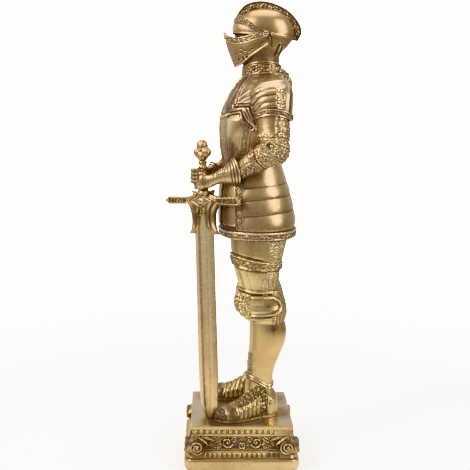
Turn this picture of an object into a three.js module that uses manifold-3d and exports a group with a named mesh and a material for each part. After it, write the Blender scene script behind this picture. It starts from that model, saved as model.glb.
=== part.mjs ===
// Medieval knight statue: a gilded figure in full plate armour, both hands on the grip of a
// longsword whose point stands on the plinth. Millimetres, +Z up, the knight faces -Y and the
// knight's left side is +X. The origin is the centre of the plinth's underside.
import * as THREE from 'three';
import { mergeVertices } from 'three/addons/utils/BufferGeometryUtils.js';
import Module from 'manifold-3d';

const wasm = await Module();
wasm.setup();

// Driving sizes
const knightHeight = 270;
const plinthTopSide = 66.4;
const plinthBaseSide = 75;
const plinthFootSide = 70;
const capHeight = 7.4;
const friezeHeight = 9.5;
const baseHeight = 13.1;
const friezeDepth = 2.4;
const voluteRadius = 5;
const scrollThickness = 1.5;
const guardSpan = 59.5;
const guardHeight = 5;
const guardDepth = 4.2;
const bladeWidth = 13.6;
const bladeThickness = 4.2;
const langetLength = 21;
const gripRadius = 2.3;
const gripLength = 22.8;
const pommelWidth = 12;
const seatGap = 0.3;

// The figure is drawn 270 units tall, from the plinth's top to the top of the comb
const unit = knightHeight / 270;
const plinthHeight = baseHeight + friezeHeight + capHeight;
const floorZ = plinthHeight + seatGap;
const bodyX = -3;

const gilt = { color: 0xb08a4a, roughness: 0.38, metalness: 0.9 };
const UP = new THREE.Vector3(0, 0, 1);

function vec(x, y, z) {
  return new THREE.Vector3(x, y, z);
}

// A smooth curve through rows [s, a, b, ...]: the value of every column at s
function rowAt(rows, s) {
  const last = rows.length - 1;
  let i = 0;
  while (i < last - 1 && s > rows[i + 1][0]) i += 1;
  const slope = (k, c) => {
    const before = rows[Math.max(k - 1, 0)];
    const after = rows[Math.min(k + 1, last)];
    return (after[c] - before[c]) / (after[0] - before[0]);
  };
  const width = rows[i + 1][0] - rows[i][0];
  const t = THREE.MathUtils.clamp((s - rows[i][0]) / width, 0, 1);
  const t2 = t * t;
  const t3 = t2 * t;
  return rows[i].slice(1).map((start, c) => {
    const end = rows[i + 1][c + 1];
    return (2 * t3 - 3 * t2 + 1) * start + (t3 - 2 * t2 + t) * width * slope(i, c + 1)
      + (3 * t2 - 2 * t3) * end + (t3 - t2) * width * slope(i + 1, c + 1);
  });
}

// A closed skin over rings of points, each ring with as many points, its two ends shut
function skin(rings) {
  const sides = rings[0].length;
  const points = rings.flat();
  const index = [];
  for (let r = 0; r < rings.length - 1; r += 1) {
    for (let k = 0; k < sides; k += 1) {
      const a = r * sides + k;
      const b = r * sides + (k + 1) % sides;
      index.push(a, b, b + sides, a, b + sides, a + sides);
    }
  }
  for (const [r, flip] of [[0, true], [rings.length - 1, false]]) {
    const middle = new THREE.Vector3();
    for (const p of rings[r]) middle.add(p);
    points.push(middle.divideScalar(sides));
    for (let k = 0; k < sides; k += 1) {
      const a = r * sides + k;
      const b = r * sides + (k + 1) % sides;
      index.push(points.length - 1, flip ? b : a, flip ? a : b);
    }
  }
  const geometry = new THREE.BufferGeometry();
  const position = new THREE.Float32BufferAttribute(points.flatMap((p) => [p.x, p.y, p.z]), 3);
  geometry.setAttribute('position', position);
  geometry.setIndex(index);
  return geometry;
}

function solid(geometry) {
  const bare = geometry.clone();
  bare.deleteAttribute('normal');
  bare.deleteAttribute('uv');
  const merged = mergeVertices(bare, 1e-4);
  const build = (triangles) => new wasm.Manifold(new wasm.Mesh({
    numProp: 3,
    vertProperties: new Float32Array(merged.attributes.position.array),
    triVerts: new Uint32Array(triangles),
  }));
  const made = build(merged.index.array);
  if (made.volume() > 0) return made;
  const turned = [];
  for (let i = 0; i < merged.index.count; i += 3) {
    turned.push(merged.index.getX(i), merged.index.getX(i + 2), merged.index.getX(i + 1));
  }
  return build(turned);
}

function fuse(geometries) {
  return geometries.map(solid).reduce((whole, piece) => whole.add(piece));
}

function geometryOf(manifold) {
  const { vertProperties, triVerts, numProp } = manifold.getMesh();
  const geometry = new THREE.BufferGeometry();
  const position = [];
  for (let i = 0; i < vertProperties.length; i += numProp) {
    position.push(vertProperties[i], vertProperties[i + 1], vertProperties[i + 2]);
  }
  geometry.setAttribute('position', new THREE.Float32BufferAttribute(position, 3));
  geometry.setIndex(Array.from(triVerts));
  return geometry;
}

function spread(from, to, count) {
  return Array.from({ length: count }, (_, i) => from + ((to - from) * i) / (count - 1));
}

const rounded = (v, squareness) => Math.sign(v) * Math.abs(v) ** (2 / squareness);

// A point on a level ring of a body part. The row holds front y, back y, half width, centre x.
// Angle 0 is the front, a quarter turn on is the knight's left. form may hold squareness,
// keel (how far a ridge stands out along the front), keelWidth, and tilt (rise from front to back)
function ringPoint(z, [front, back, halfWidth, centreX], angle, out, form) {
  const { squareness = 2.2, keel = 0, keelWidth = 0.3, tilt = 0 } = form;
  const fromFront = Math.abs(THREE.MathUtils.euclideanModulo(angle + Math.PI, 2 * Math.PI) - Math.PI);
  const ridge = keel * Math.exp(-((fromFront / keelWidth) ** 2));
  const x = (halfWidth + out) * rounded(Math.sin(angle), squareness);
  const y = -((back - front) / 2 + out + ridge) * rounded(Math.cos(angle), squareness);
  return vec(centreX + x, (front + back) / 2 + y, z + tilt * y);
}

// A body part built up of level rings. levels holds [z, how far it stands out]
function levelLoft(rows, levels, sides, form = {}) {
  return skin(levels.map(([z, out]) => {
    const row = rowAt(rows, z);
    return Array.from({ length: sides }, (_, k) => ringPoint(z, row, (2 * Math.PI * k) / sides, out, form));
  }));
}

// A raised border on such a part, along [z, angle] pairs, of a width in millimetres
function border(rows, form, route, width, proud, steps) {
  const girth = 26;
  const curve = new THREE.CatmullRomCurve3(route.map(([z, angle]) => vec(z, angle * girth, 0)));
  return skin(spread(0, 1, steps).map((t) => {
    const p = curve.getPoint(t);
    const along = curve.getTangent(t);
    const side = vec(-along.y, along.x, 0).multiplyScalar(width / 2);
    return [[1, -1.5], [1, proud], [-1, proud], [-1, -1.5]].map(([way, out]) => {
      const z = p.x + way * side.x;
      return ringPoint(z, rowAt(rows, z), (p.y + way * side.y) / girth, out, form);
    });
  }));
}

// Levels of plates that overlap like roof tiles, each standing out by step at its lower edge
function lameLevels(edges, step) {
  return edges.slice(0, -1).flatMap((edge, i) => [[edge, step], [edges[i + 1] - 0.2, 0]]);
}

// A limb along stations { at, radii: [half width along across, half height] }
function limb(stations, sides, across, squareness = 2) {
  const centres = stations.map((s) => vec(...s.at));
  return skin(stations.map(({ radii: [wide, high] }, i) => {
    const before = centres[Math.max(i - 1, 0)];
    const after = centres[Math.min(i + 1, centres.length - 1)];
    const along = after.clone().sub(before).normalize();
    const side = across.clone().addScaledVector(along, -across.dot(along)).normalize();
    const top = side.clone().cross(along);
    return Array.from({ length: sides }, (_, k) => {
      const angle = (2 * Math.PI * k) / sides;
      return centres[i].clone()
        .addScaledVector(side, wide * rounded(Math.cos(angle), squareness))
        .addScaledVector(top, high * rounded(Math.sin(angle), squareness));
    });
  }));
}

// A ball with radii along X, Y and Z
function egg([x, y, z], [rx, ry, rz], around = 10, rows = 6) {
  const ball = new THREE.SphereGeometry(1, around, rows);
  ball.scale(rx, ry, rz);
  ball.translate(x, y, z);
  return ball;
}

// Helmet. The figure's rows are in drawing units, with heights above the plinth's top
const skullRows = [
  [226, -1.5, 21.5, 11.5, bodyX],
  [232, -2.5, 21.5, 11.5, bodyX],
  [237, -4, 22.3, 12, bodyX],
  [242, -6, 25.4, 13, bodyX],
  [248, -7.6, 29, 14, bodyX],
  [254, -7.8, 29.6, 14, bodyX],
  [259, -5.5, 27.4, 12.4, bodyX],
  [263, 0, 22.4, 8.6, bodyX],
  [265.4, 6.5, 16, 3, bodyX],
];
const combMiddle = { y: 13, z: 250 };
const combThickness = 4.6;
const combRows = [
  // share of the way, y and z of the outer edge, from the brow over the top to the nape
  [0, -8.4, 254],
  [0.12, -6.9, 260.4],
  [0.27, -1.4, 267.3],
  [0.42, 8, 270],
  [0.57, 18, 268.4],
  [0.72, 27, 263.4],
  [0.85, 33.2, 256.2],
  [0.94, 34.9, 250.4],
  [1, 32.6, 246],
];

function helmetSkull() {
  const levels = [228, 236, 242, 248, 254, 259, 263, 265.4];
  return levelLoft(skullRows, levels.map((z) => [z, 0]), 14, { squareness: 2.1 });
}

function comb() {
  const rim = combThickness / 2;
  return skin(spread(0, 1, 13).map((share) => {
    const [y, z] = rowAt(combRows, share);
    const at = (reach, x) => vec(
      bodyX + x,
      combMiddle.y + (y - combMiddle.y) * reach,
      combMiddle.z + (z - combMiddle.z) * reach,
    );
    return [at(0.68, -rim), at(0.98, -rim), at(1, 0), at(0.98, rim), at(0.68, rim)];
  }));
}

// The lower visor is a prow. Its rim dips from both pivots and rises again to the point.
const visorRows = [
  // share from the point to a pivot, half width, y of the rim, y of the lower edge, z of each
  [0, 0, -15.2, -7, 250, 230],
  [0.12, 3, -12.6, -5.6, 247.8, 231],
  [0.35, 8.2, -7.4, -2, 245.2, 233.4],
  [0.6, 12, -1.6, 2.6, 245.6, 236.4],
  [0.82, 14.2, 4.6, 8, 247.6, 238.8],
  [1, 15, 11, 13.6, 250, 241.6],
];

function lowerVisor() {
  const inward = 0.45;
  return skin(spread(-1, 1, 11).map((share) => {
    const [wide, rimY, edgeY, rimZ, edgeZ] = rowAt(visorRows, Math.abs(share));
    const x = Math.sign(share) * wide;
    const inner = (y) => y + (combMiddle.y - y) * inward;
    return [
      vec(bodyX + x, rimY, rimZ),
      vec(bodyX + x, (rimY + edgeY) / 2 - 0.8, (rimZ + edgeZ) / 2),
      vec(bodyX + x, edgeY, edgeZ),
      vec(bodyX + x * (1 - inward), inner(edgeY), edgeZ + 1),
      vec(bodyX + x * (1 - inward), inner(rimY), rimZ - 2.4),
    ];
  }));
}

// The upper visor: a smooth brow with a raised band along its top, from pivot to pivot
const browBand = { top: 259, fall: 9.4, width: 3.2 };
const slitZ = 249.3;

function upperVisor() {
  return skin(spread(-1, 1, 9).map((share) => {
    const angle = share * 1.42;
    const top = browBand.top - browBand.fall * Math.abs(share) ** 1.25;
    const low = Math.max(top - browBand.width, slitZ - 2);
    const bottom = Math.min(slitZ + 0.2 - 2.2 * Math.abs(share), low - 0.3);
    const at = (z, out) => ringPoint(z, rowAt(skullRows, z), angle, out, { squareness: 2.1 });
    return [at(bottom, 0.8), at(low, 0.7), at(low, 1.4), at(top, 1.2), at(top, -2.5), at(bottom, -2.5)];
  }));
}

function visorPivot(side) {
  const boss = new THREE.CylinderGeometry(2, 2.5, 3.4, 8);
  boss.rotateZ(-side * Math.PI / 2);
  boss.translate(bodyX + side * 14.4, 12.4, 248.4);
  return boss;
}

// Collar and the ornamented band at its foot, both lower in front
const collarRows = [
  [216, -4.5, 30.4, 23, bodyX],
  [219, -3.2, 29.2, 19.5, bodyX],
  [222, -2, 26.4, 15.2, bodyX],
  [225, -1.8, 22.6, 13.6, bodyX],
  [231, -2, 22.2, 13, bodyX],
];

function collar() {
  const flare = [[216, -0.4], [219, 0.5], [222.6, 0.9]];
  const band = [[223, 0.1], [229.4, 0.2], [229.8, 0.9], [231, 0.7]];
  const levels = [...flare, ...band];
  return levelLoft(collarRows, levels, 14, { tilt: 0.13 });
}

// Cuirass
const cuirassRows = [
  [160, -12, 23.6, 19, bodyX],
  [168, -12.9, 24.2, 20, bodyX],
  [175, -14.2, 25.2, 22, bodyX],
  [183, -15, 26.6, 24.4, bodyX],
  [192, -15.2, 28, 26.4, bodyX],
  [201, -13.6, 29.4, 27.2, bodyX],
  [209, -10.2, 30.4, 25.6, bodyX],
  [217, -5.4, 30, 22, bodyX],
  [221, -2.4, 27.6, 17.6, bodyX],
  [225, -0.4, 23.6, 13, bodyX],
];
const cuirassForm = { squareness: 2.3, keel: 1.2, keelWidth: 0.28 };

function cuirass() {
  const levels = [162, 172, 182, 192, 201, 209, 216, 222];
  return levelLoft(cuirassRows, levels.map((z) => [z, 0]), 18, cuirassForm);
}

// Borders of the breast: one down the front, one from each shoulder and one round each armhole.
// Routes are [z, angle] on the knight's left
const frontRoute = [[219, 0], [209, 0], [197, 0], [184, 0], [168, 0]];
const yokeRoute = [[219, 0.42], [212, 0.6], [204, 0.72], [198.5, 0.8]];
const armholeRoute = [[198.5, 0.8], [194, 1.02], [184, 0.94], [174, 0.86], [168, 0.84]];
const fauldRoute = [[124.5, 0.8], [137, 0.78], [149, 0.8], [160, 0.84]];
const onSide = (route, side) => route.map(([z, angle]) => [z, side * angle]);

function cuirassBorders() {
  const breast = (route, width, steps) => border(cuirassRows, cuirassForm, route, width, 0.8, steps);
  const sides = [1, -1].flatMap((side) => (
    [breast(onSide(yokeRoute, side), 3.6, 4), breast(onSide(armholeRoute, side), 4, 5)]
  ));
  return [breast(frontRoute, 5, 5), ...sides];
}

// Fauld: the skirt of plates below the waist, with a thick ornamented rim
const fauldRows = [
  [118, -13.6, 33.4, 28.6, bodyX],
  [124, -15.4, 34, 29.6, bodyX],
  [130, -16, 33.8, 29.4, bodyX],
  [138, -16.2, 32.6, 28.2, bodyX],
  [146, -16, 30.8, 26.6, bodyX],
  [154, -15.4, 28.4, 24.4, bodyX],
  [161, -14.2, 25.8, 21.8, bodyX],
  [168, -12.8, 23.6, 19.8, bodyX],
];
const fauldForm = { squareness: 2.25 };
const hemBottom = 119.6;
const hemTop = 125;
const lameEdges = [135, 145.4, 152.4, 160, 167.4];

function fauld() {
  const hem = [[hemBottom, 0.2], [hemTop - 2.4, 1.3], [hemTop - 0.3, 0.8], [hemTop, 0]];
  const plates = [[lameEdges[0] - 0.2, 0], ...lameLevels(lameEdges, 0.9)];
  return levelLoft(fauldRows, [...hem, ...plates], 18, fauldForm);
}

function fauldBorder(side) {
  return border(fauldRows, fauldForm, onSide(fauldRoute, side), 4.2, 1.2, 4);
}

// Legs. Each row is front y, back y, half width and centre x of the left leg.
const thighRows = [
  [82, -1, 24.6, 11, 10.6],
  [88, -3, 23.4, 11.4, 10.3],
  [95, -5, 23.4, 12.4, 10],
  [103, -7, 24.4, 13.4, 9.6],
  [112, -8, 26.2, 14.2, 9.2],
  [122, -8.2, 28.4, 14.8, 9],
];
const kneeRows = [
  [64, 3, 27, 10.6, 10.6],
  [67, 0.4, 28, 11.6, 10.6],
  [71, -3.2, 28.8, 12.2, 10.6],
  [77, -4.4, 28, 12.4, 10.6],
  [82, -4, 26.6, 12.2, 10.6],
  [86, -2.4, 25, 11.6, 10.6],
];
const greaveRows = [
  [14, 2.6, 22, 7.6, 9.4],
  [20, 3, 21.2, 7.2, 9.2],
  [27, 4.2, 21, 7.4, 9.2],
  [34, 4.8, 22.6, 8.2, 9.6],
  [42, 5.2, 25.4, 9.6, 10],
  [50, 5.4, 28.4, 10.6, 10.2],
  [58, 5.4, 29.2, 11, 10.4],
  [67, 5.2, 27.2, 10.4, 10.6],
];
// The right leg stands a little wider and is hidden behind the left one from the side
const legs = [
  { side: 1, splay: 0, back: 0, heel: [8.8, 22], turn: 22.5 },
  { side: -1, splay: 3.5, back: 2.2, heel: [-17.6, 21], turn: 8 },
];

function legRow(leg, z, [front, back, wide, x]) {
  const down = THREE.MathUtils.clamp((120 - z) / 100, 0, 1);
  const centre = leg.side > 0 ? x : 2 * bodyX - x - leg.splay * down;
  return [front + leg.back, back + leg.back * 0.4, wide, centre];
}

function legPart(leg, rows, levels, sides, form) {
  return skin(levels.map(([z, out]) => {
    const row = legRow(leg, z, rowAt(rows, z));
    return Array.from({ length: sides }, (_, k) => ringPoint(z, row, (2 * Math.PI * k) / sides, out, form));
  }));
}

function thigh(leg) {
  const levels = [[82, 0], [90, 0], [99, 0.1], [99.4, 0.9], [106.6, 0.8], [107, 0], [114, 0], [122, 0]];
  return legPart(leg, thighRows, levels, 12, { keel: 0.6, keelWidth: 0.4, tilt: -0.12 });
}

function knee(leg) {
  const levels = [[64, -0.4], [65.4, 0.6], [70, 0.2], [76, 0.3], [82, 0.3], [82.4, 1], [85, 0.6]];
  return legPart(leg, kneeRows, levels, 10, { keel: 0.6, keelWidth: 0.5, tilt: -0.04 });
}

// The tongue-shaped wing on the outer side of the knee, with a raised rim
function kneeWing(leg) {
  const [front, back, wide, x] = legRow(leg, 76, rowAt(kneeRows, 76));
  const outline = (grow) => {
    const shape = new THREE.Shape();
    shape.moveTo(front + 8, 76 - 6 - grow);
    shape.lineTo(back - 8.5, 76 - 5.6 - grow);
    shape.absarc(back - 8.5, 76, 5.6 + grow, -Math.PI / 2, Math.PI / 2, false);
    shape.lineTo(front + 8, 76 + 6 + grow);
    return shape.getPoints(4);
  };
  const rings = [[1, -5], [1, 0.6], [0, 1.8], [-2, 1.6], [-2.6, 0.7]];
  return skin(rings.map(([grow, lift]) => (
    outline(grow).map((p) => vec(x + leg.side * (wide + lift), p.x, p.y))
  )));
}

function greave(leg) {
  const ankle = [[14, 0], [20, 0], [24, 0.8], [26.4, 0.7], [26.8, 0]];
  const calf = [34, 42, 50, 58, 67].map((z) => [z, 0]);
  return legPart(leg, greaveRows, [...ankle, ...calf], 10, { keel: 0.8, keelWidth: 0.35 });
}

// Sabaton: the plated shoe, drawn from the heel along the foot
const sabatonRows = [
  // distance from the heel, half width, height
  [-0.5, 4.4, 13],
  [1.4, 6.2, 17],
  [8, 7.2, 22],
  [15, 7.4, 20],
  [20, 7.8, 15],
  [27, 8.4, 10.6],
  [34, 8, 9],
  [39.5, 6.2, 7.4],
  [43, 3.4, 4.8],
  [44.5, 1, 2.6],
];
const sabatonArch = 5;
const footPlates = [18, 22.5, 27, 31.5];

function sabaton(leg) {
  const turn = THREE.MathUtils.degToRad(leg.turn) * leg.side;
  const along = vec(Math.sin(turn), -Math.cos(turn), 0);
  const across = vec(Math.cos(turn), Math.sin(turn), 0);
  const heel = vec(leg.heel[0], leg.heel[1], 0);
  const plates = footPlates.flatMap((d) => [[d, 0], [d + 0.15, 0.6]]);
  const stops = [[-0.5, 0], [1.4, 0], [8, 0], [14, 0], ...plates, [39, 0.2], [43, 0], [44.5, 0]];
  return skin(stops.map(([d, out]) => {
    const [wide, high] = rowAt(sabatonRows, d);
    const at = (sideways, z) => vec(heel.x, heel.y, z)
      .addScaledVector(along, d)
      .addScaledVector(across, sideways);
    const arch = spread(0, Math.PI, sabatonArch + 1).map((angle) => at(
      (wide + out) * rounded(Math.cos(angle), 2.3),
      1.6 + (high - 1.6 + out) * rounded(Math.sin(angle), 2.3),
    ));
    return [...arch, at(-wide - 0.6, 0), at(wide + 0.6, 0)];
  }));
}

// Sword. Its axis runs from the point on the plinth to the pommel, leaning a little. Where it
// stands follows the figure, and its own sizes are in millimetres
const swordPoint = vec(18.5, -21, 0).multiplyScalar(unit);
const swordGuard = vec(10, -26.4, 143).multiplyScalar(unit);
const swordAxis = swordGuard.clone().sub(swordPoint).normalize();
const guardTurn = THREE.MathUtils.degToRad(38);
const guardLevel = vec(Math.sin(guardTurn), Math.cos(guardTurn), 0);
const guardAlong = guardLevel.clone().addScaledVector(swordAxis, -swordAxis.dot(guardLevel)).normalize();
const guardFacing = guardAlong.clone().cross(swordAxis).normalize();

// A point of the sword: along the guard, away from the blade's flat, and up from the guard
function swordAt(along, facing, up) {
  return swordGuard.clone()
    .addScaledVector(guardAlong, along)
    .addScaledVector(guardFacing, facing)
    .addScaledVector(swordAxis, up);
}

// Arms. hold is how far up the grip the middle of the fist is, as a share of the grip
const leftArm = {
  side: 1, elbow: [30.5, 17, 177.5], cuff: [19.5, -3.4, 164], wrist: [15.4, -15.4, 158], hold: 0.49,
};
const rightArm = {
  side: -1, elbow: [-36.5, 15, 177], cuff: [-18, -5.6, 167.6], wrist: [-2.6, -19.6, 163.6], hold: 0.816,
};

const pauldronRows = [
  // front y, back y, half width and distance of its centre from the middle of the body
  [198.4, 3, 27.6, 10.6, 26],
  [203, 2, 28, 11.4, 25.4],
  [208, 1.6, 28, 12, 24],
  [213, 2.6, 27.6, 12, 22.2],
  [217, 4.6, 26.6, 10.8, 20.4],
  [220.4, 7.6, 24.6, 8, 18.4],
  [222.6, 11.4, 20.6, 4, 17],
];

function pauldron({ side }) {
  const rows = pauldronRows.map(([z, front, back, wide, x]) => [z, front, back, wide, bodyX + side * x]);
  const rim = [[198.4, 0.9], [202.6, 0.9], [202.8, 0]];
  const lames = lameLevels([203.6, 207, 210.4, 213.8], 0.7);
  return levelLoft(rows, [...rim, ...lames, [218, 0], [222.4, 0]], 12);
}

function upperArm({ side, elbow }) {
  return limb([
    { at: [bodyX + side * 27, 15.5, 205], radii: [10.4, 8.4] },
    { at: [bodyX + side * 29, 16.4, 190], radii: [10, 8.2] },
    { at: elbow, radii: [8.4, 7.6] },
  ], 8, vec(0, 1, 0));
}

function couter({ side, elbow: [x, y, z] }) {
  const cap = egg([x + side * 0.4, y + 0.2, z], [8.6, 9.2, 9.8], 9, 6);
  const wing = new THREE.CylinderGeometry(4.6, 5.8, 2.6, 8);
  wing.rotateZ(-side * Math.PI / 2);
  wing.translate(x + side * 7.6, y - 2, z + 1);
  return [cap, wing];
}

function forearm({ elbow, cuff, wrist }) {
  const from = vec(...elbow);
  const to = vec(...cuff);
  const hand = vec(...wrist);
  const upper = [[0, 7.6], [0.3, 7.4], [0.34, 8], [0.46, 7.8], [0.5, 6.8], [0.92, 6]];
  const flare = [[0, 8.6], [0.1, 8.6], [0.16, 7.6], [0.24, 7.8], [0.34, 6.6], [0.64, 4.2], [1, 3.4]];
  const at = (a, b, share) => a.clone().lerp(b, share).toArray();
  return [
    limb(upper.map(([share, r]) => ({ at: at(from, to, share), radii: [r * 0.9, r] })), 8, vec(1, 0, 0)),
    limb(flare.map(([share, r]) => ({ at: at(to, hand, share), radii: [r * 0.9, r] })), 9, vec(1, 0, 0)),
  ];
}

// A gauntlet on the grip, in millimetres: the back of the hand from the wrist, and the fist
// round the grip
const fingerThickness = 3.2;
const fistHeight = gripLength / 3;

function gauntlet({ side, wrist, hold }) {
  const middle = swordAt(0, 0, hold * gripLength);
  const from = vec(...wrist).multiplyScalar(unit);
  const toWrist = from.clone().sub(middle);
  toWrist.addScaledVector(swordAxis, -toWrist.dot(swordAxis)).normalize();
  const across = toWrist.clone().cross(swordAxis).normalize();
  const palm = middle.clone().addScaledVector(toWrist, gripRadius + 1.4);
  palm.addScaledVector(across, side * 1.2);
  const hand = limb([
    { at: from.toArray(), radii: [3.4 * unit, 3 * unit] },
    { at: from.clone().lerp(palm, 0.5).toArray(), radii: [4 * unit, 3.2] },
    { at: palm.toArray(), radii: [fistHeight / 2, 3.2] },
  ], 8, UP, 2.5);
  const reach = gripRadius + fingerThickness / 2;
  const fist = limb(spread(0.3, 4, 6).map((angle) => ({
    at: middle.clone()
      .addScaledVector(toWrist, reach * Math.cos(angle))
      .addScaledVector(across, side * reach * Math.sin(angle)).toArray(),
    radii: [fistHeight / 2, fingerThickness / 2],
  })), 8, UP, 2.8);
  return [hand, fist];
}

// All of the figure but its hands, in drawing units
function armour() {
  const head = [helmetSkull(), comb(), lowerVisor(), upperVisor(), visorPivot(1), visorPivot(-1), collar()];
  const body = [cuirass(), ...cuirassBorders(), fauld(), fauldBorder(1), fauldBorder(-1)];
  const legParts = legs.flatMap((leg) => [thigh(leg), knee(leg), kneeWing(leg), greave(leg), sabaton(leg)]);
  const armParts = [leftArm, rightArm].flatMap((arm) => (
    [pauldron(arm), upperArm(arm), ...couter(arm), ...forearm(arm)]
  ));
  return [...head, ...body, ...legParts, ...armParts];
}

// The grip, grown by out. The room for it in the hands reaches past both of its ends
function grip(out, reach) {
  const sides = 10;
  return skin([-reach, gripLength + reach].map((up) => (
    Array.from({ length: sides }, (_, k) => {
      const angle = (2 * Math.PI * k) / sides;
      const radius = gripRadius + out;
      return swordAt(radius * Math.cos(angle), radius * Math.sin(angle), up);
    })
  )));
}

// A blade section: two sharp edges, two shoulders on each flat and a groove between them
function bladeSection(up, wide, thick) {
  const edge = thick * 0.22;
  const shoulder = wide * 0.52;
  const half = [[wide, edge], [shoulder, thick], [0, thick * 0.66], [-shoulder, thick], [-wide, edge]];
  const turned = half.map(([along, facing]) => [-along, -facing]);
  return [...half, ...turned].map(([along, facing]) => swordAt(along, facing, up));
}

function blade() {
  const length = swordGuard.clone().sub(swordPoint).length();
  const half = bladeWidth / 2;
  const thick = bladeThickness / 2;
  const taper = bladeWidth * 0.8;
  return skin([
    bladeSection(0, half, thick), bladeSection(-length + taper, half * 0.92, thick),
    bladeSection(-length, half * 0.3, thick * 0.6),
  ]);
}

function guard() {
  const half = guardSpan / 2;
  const rows = [
    // distance along it, and shares of its height and depth
    [-half, 0.34, 0.5], [-half + 1.6, 0.52, 0.9], [-half * 0.45, 0.46, 0.84], [-6.5, 0.62, 1],
    [-3, 1.15, 1.5], [3, 1.15, 1.5],
    [6.5, 0.62, 1], [half * 0.45, 0.46, 0.84], [half - 1.6, 0.56, 0.95], [half, 0.3, 0.4],
  ];
  const section = [[1, 0.5], [1, -0.5], [0.6, -1], [-0.6, -1], [-1, -0.5], [-1, 0.5], [-0.6, 1], [0.6, 1]];
  return skin(rows.map(([along, high, deep]) => (
    section.map(([facing, up]) => swordAt(along, facing * (guardDepth * deep) / 2, up * guardHeight * high))
  )));
}

// The leaves that hang from the guard beside the blade and curl out at their tips
const langetRows = [
  // share of the length, distance past the blade's edge, half width, depth past the flat
  [0, 5.2, 2.4, 1.8],
  [0.28, 1, 2.2, 1.7],
  [0.6, -0.2, 1.9, 1.4],
  [0.88, 1.2, 1.4, 1],
  [1, 3.2, 0.7, 0.4],
];
const langetRoot = 0.6;

function langet(side) {
  return skin(spread(0, 1, 7).map((share) => {
    const [past, wide, deep] = rowAt(langetRows, share);
    const along = bladeWidth / 2 + past;
    const down = -langetLength * share - langetRoot;
    const thick = bladeThickness / 2 + deep;
    return [[wide, 0], [0, thick], [-wide, 0], [0, -thick]].map(([across, facing]) => (
      swordAt(side * (along + across), facing, down)
    ));
  }));
}

// A trefoil pommel over two turned rings, in shares of half its width
function pommel() {
  const half = pommelWidth / 2;
  const ball = (along, up, radius, high) => {
    const made = egg([0, 0, 0], [radius * half, radius * half, high * half], 6, 5);
    const place = swordAt(along * half, 0, gripLength + up * half);
    made.translate(place.x, place.y, place.z);
    return made;
  };
  const rings = [ball(0, 0.13, 0.56, 0.27), ball(0, 0.57, 0.5, 0.27)];
  const lobes = [ball(0.48, 1.47, 0.54, 0.5), ball(-0.48, 1.47, 0.54, 0.5), ball(0, 2.17, 0.58, 0.6)];
  return [...rings, ball(0, 1.23, 0.62, 0.6), ...lobes];
}

function swordParts() {
  return [blade(), guard(), grip(0, 0), ...pommel(), langet(1), langet(-1)];
}

// Plinth. A level square ring with cut corners, grown or shrunk from a full side
function squareRing(z, side, chamfer) {
  const h = side / 2;
  const c = h - chamfer;
  const corners = [[h, -c], [h, c], [c, h], [-c, h], [-h, c], [-h, -c], [-c, -h], [c, -h]];
  return corners.map(([x, y]) => vec(x, y, z));
}

const friezeTop = baseHeight + friezeHeight;
const friezeSide = plinthTopSide - 2 * friezeDepth;

function plinthBody() {
  const eggs = baseHeight - 0.4;
  const roll = baseHeight * 0.66;
  const middle = baseHeight + friezeHeight / 2;
  const base = [
    [0, plinthFootSide, 4], [1.4, plinthFootSide + 3, 4.6], [roll * 0.45, plinthBaseSide, 5],
    [roll * 0.8, plinthBaseSide, 5], [roll, plinthBaseSide - 2, 4], [eggs, plinthTopSide + 1.6, 3],
  ];
  const frieze = [
    [baseHeight, plinthTopSide + 0.8, 3], [baseHeight + 0.3, friezeSide + 1.6, 2],
    [middle, friezeSide, 2], [friezeTop - 0.6, friezeSide + 1.8, 1.6],
  ];
  const cap = [
    [friezeTop, plinthTopSide - 1.6, 1], [friezeTop + 1.8, plinthTopSide - 0.6, 0.6],
    [friezeTop + 2, plinthTopSide - 2, 0.6], [plinthHeight - 2.8, plinthTopSide - 1.4, 0.6],
    [plinthHeight - 2.6, plinthTopSide, 0.6], [plinthHeight, plinthTopSide, 0.6],
  ];
  return skin([...base, ...frieze, ...cap].map(([z, side, chamfer]) => squareRing(z, side, chamfer)));
}

// What belongs to one face is drawn on the -Y face and turned round to the others
function plinthFace(turn) {
  const parts = [palmette(), ...[1, -1].flatMap((side) => [volute(side), acanthus(side)])];
  for (const part of parts) part.rotateZ(turn);
  return parts;
}

const voluteX = plinthTopSide / 2 - voluteRadius + 1.2;
const voluteZ = baseHeight + voluteRadius * 0.4;
const voluteRoot = 1.3;

// A drum at the corner, from inside the frieze out to the base's face
function volute(side) {
  const depth = (plinthBaseSide - friezeSide) / 2 + voluteRoot;
  const drum = new THREE.CylinderGeometry(voluteRadius, voluteRadius + 0.3, depth, 10);
  drum.translate(side * voluteX, (depth - plinthBaseSide) / 2, voluteZ);
  return drum;
}

// A leaf scroll that runs from the volute up to the cap and curls down to the middle
function acanthus(side) {
  const y = -friezeSide / 2;
  const middleZ = baseHeight + friezeHeight * 0.5;
  return skin(spread(0, 1, 6).map((t) => {
    const x = side * THREE.MathUtils.lerp(voluteX - 3, 4, t);
    const z = middleZ + friezeHeight * 0.28 * Math.sin(t * Math.PI * 1.5 + 0.6);
    const wide = 1.8 * (1 - 0.5 * t);
    const outer = vec(x, y - scrollThickness, z);
    const inner = vec(x, y + 1.5, z);
    return [outer, vec(x, y + 0.2, z + wide), inner, vec(x, y + 0.2, z - wide)];
  }));
}

function palmette() {
  const leaf = egg([0, 0, friezeHeight * 0.3], [3, scrollThickness, friezeHeight * 0.32], 6, 4);
  leaf.translate(0, -friezeSide / 2, baseHeight + 0.8);
  return leaf;
}

function node(name, manifold) {
  const mesh = new THREE.Mesh(geometryOf(manifold), new THREE.MeshStandardMaterial(gilt));
  mesh.name = name;
  return mesh;
}

// Parts stood on the plinth, drawn at that many millimetres to a unit
function standing(parts, size = 1) {
  for (const part of parts) {
    part.scale(size, size, size);
    part.translate(0, 0, floorZ);
  }
  return parts;
}

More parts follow.
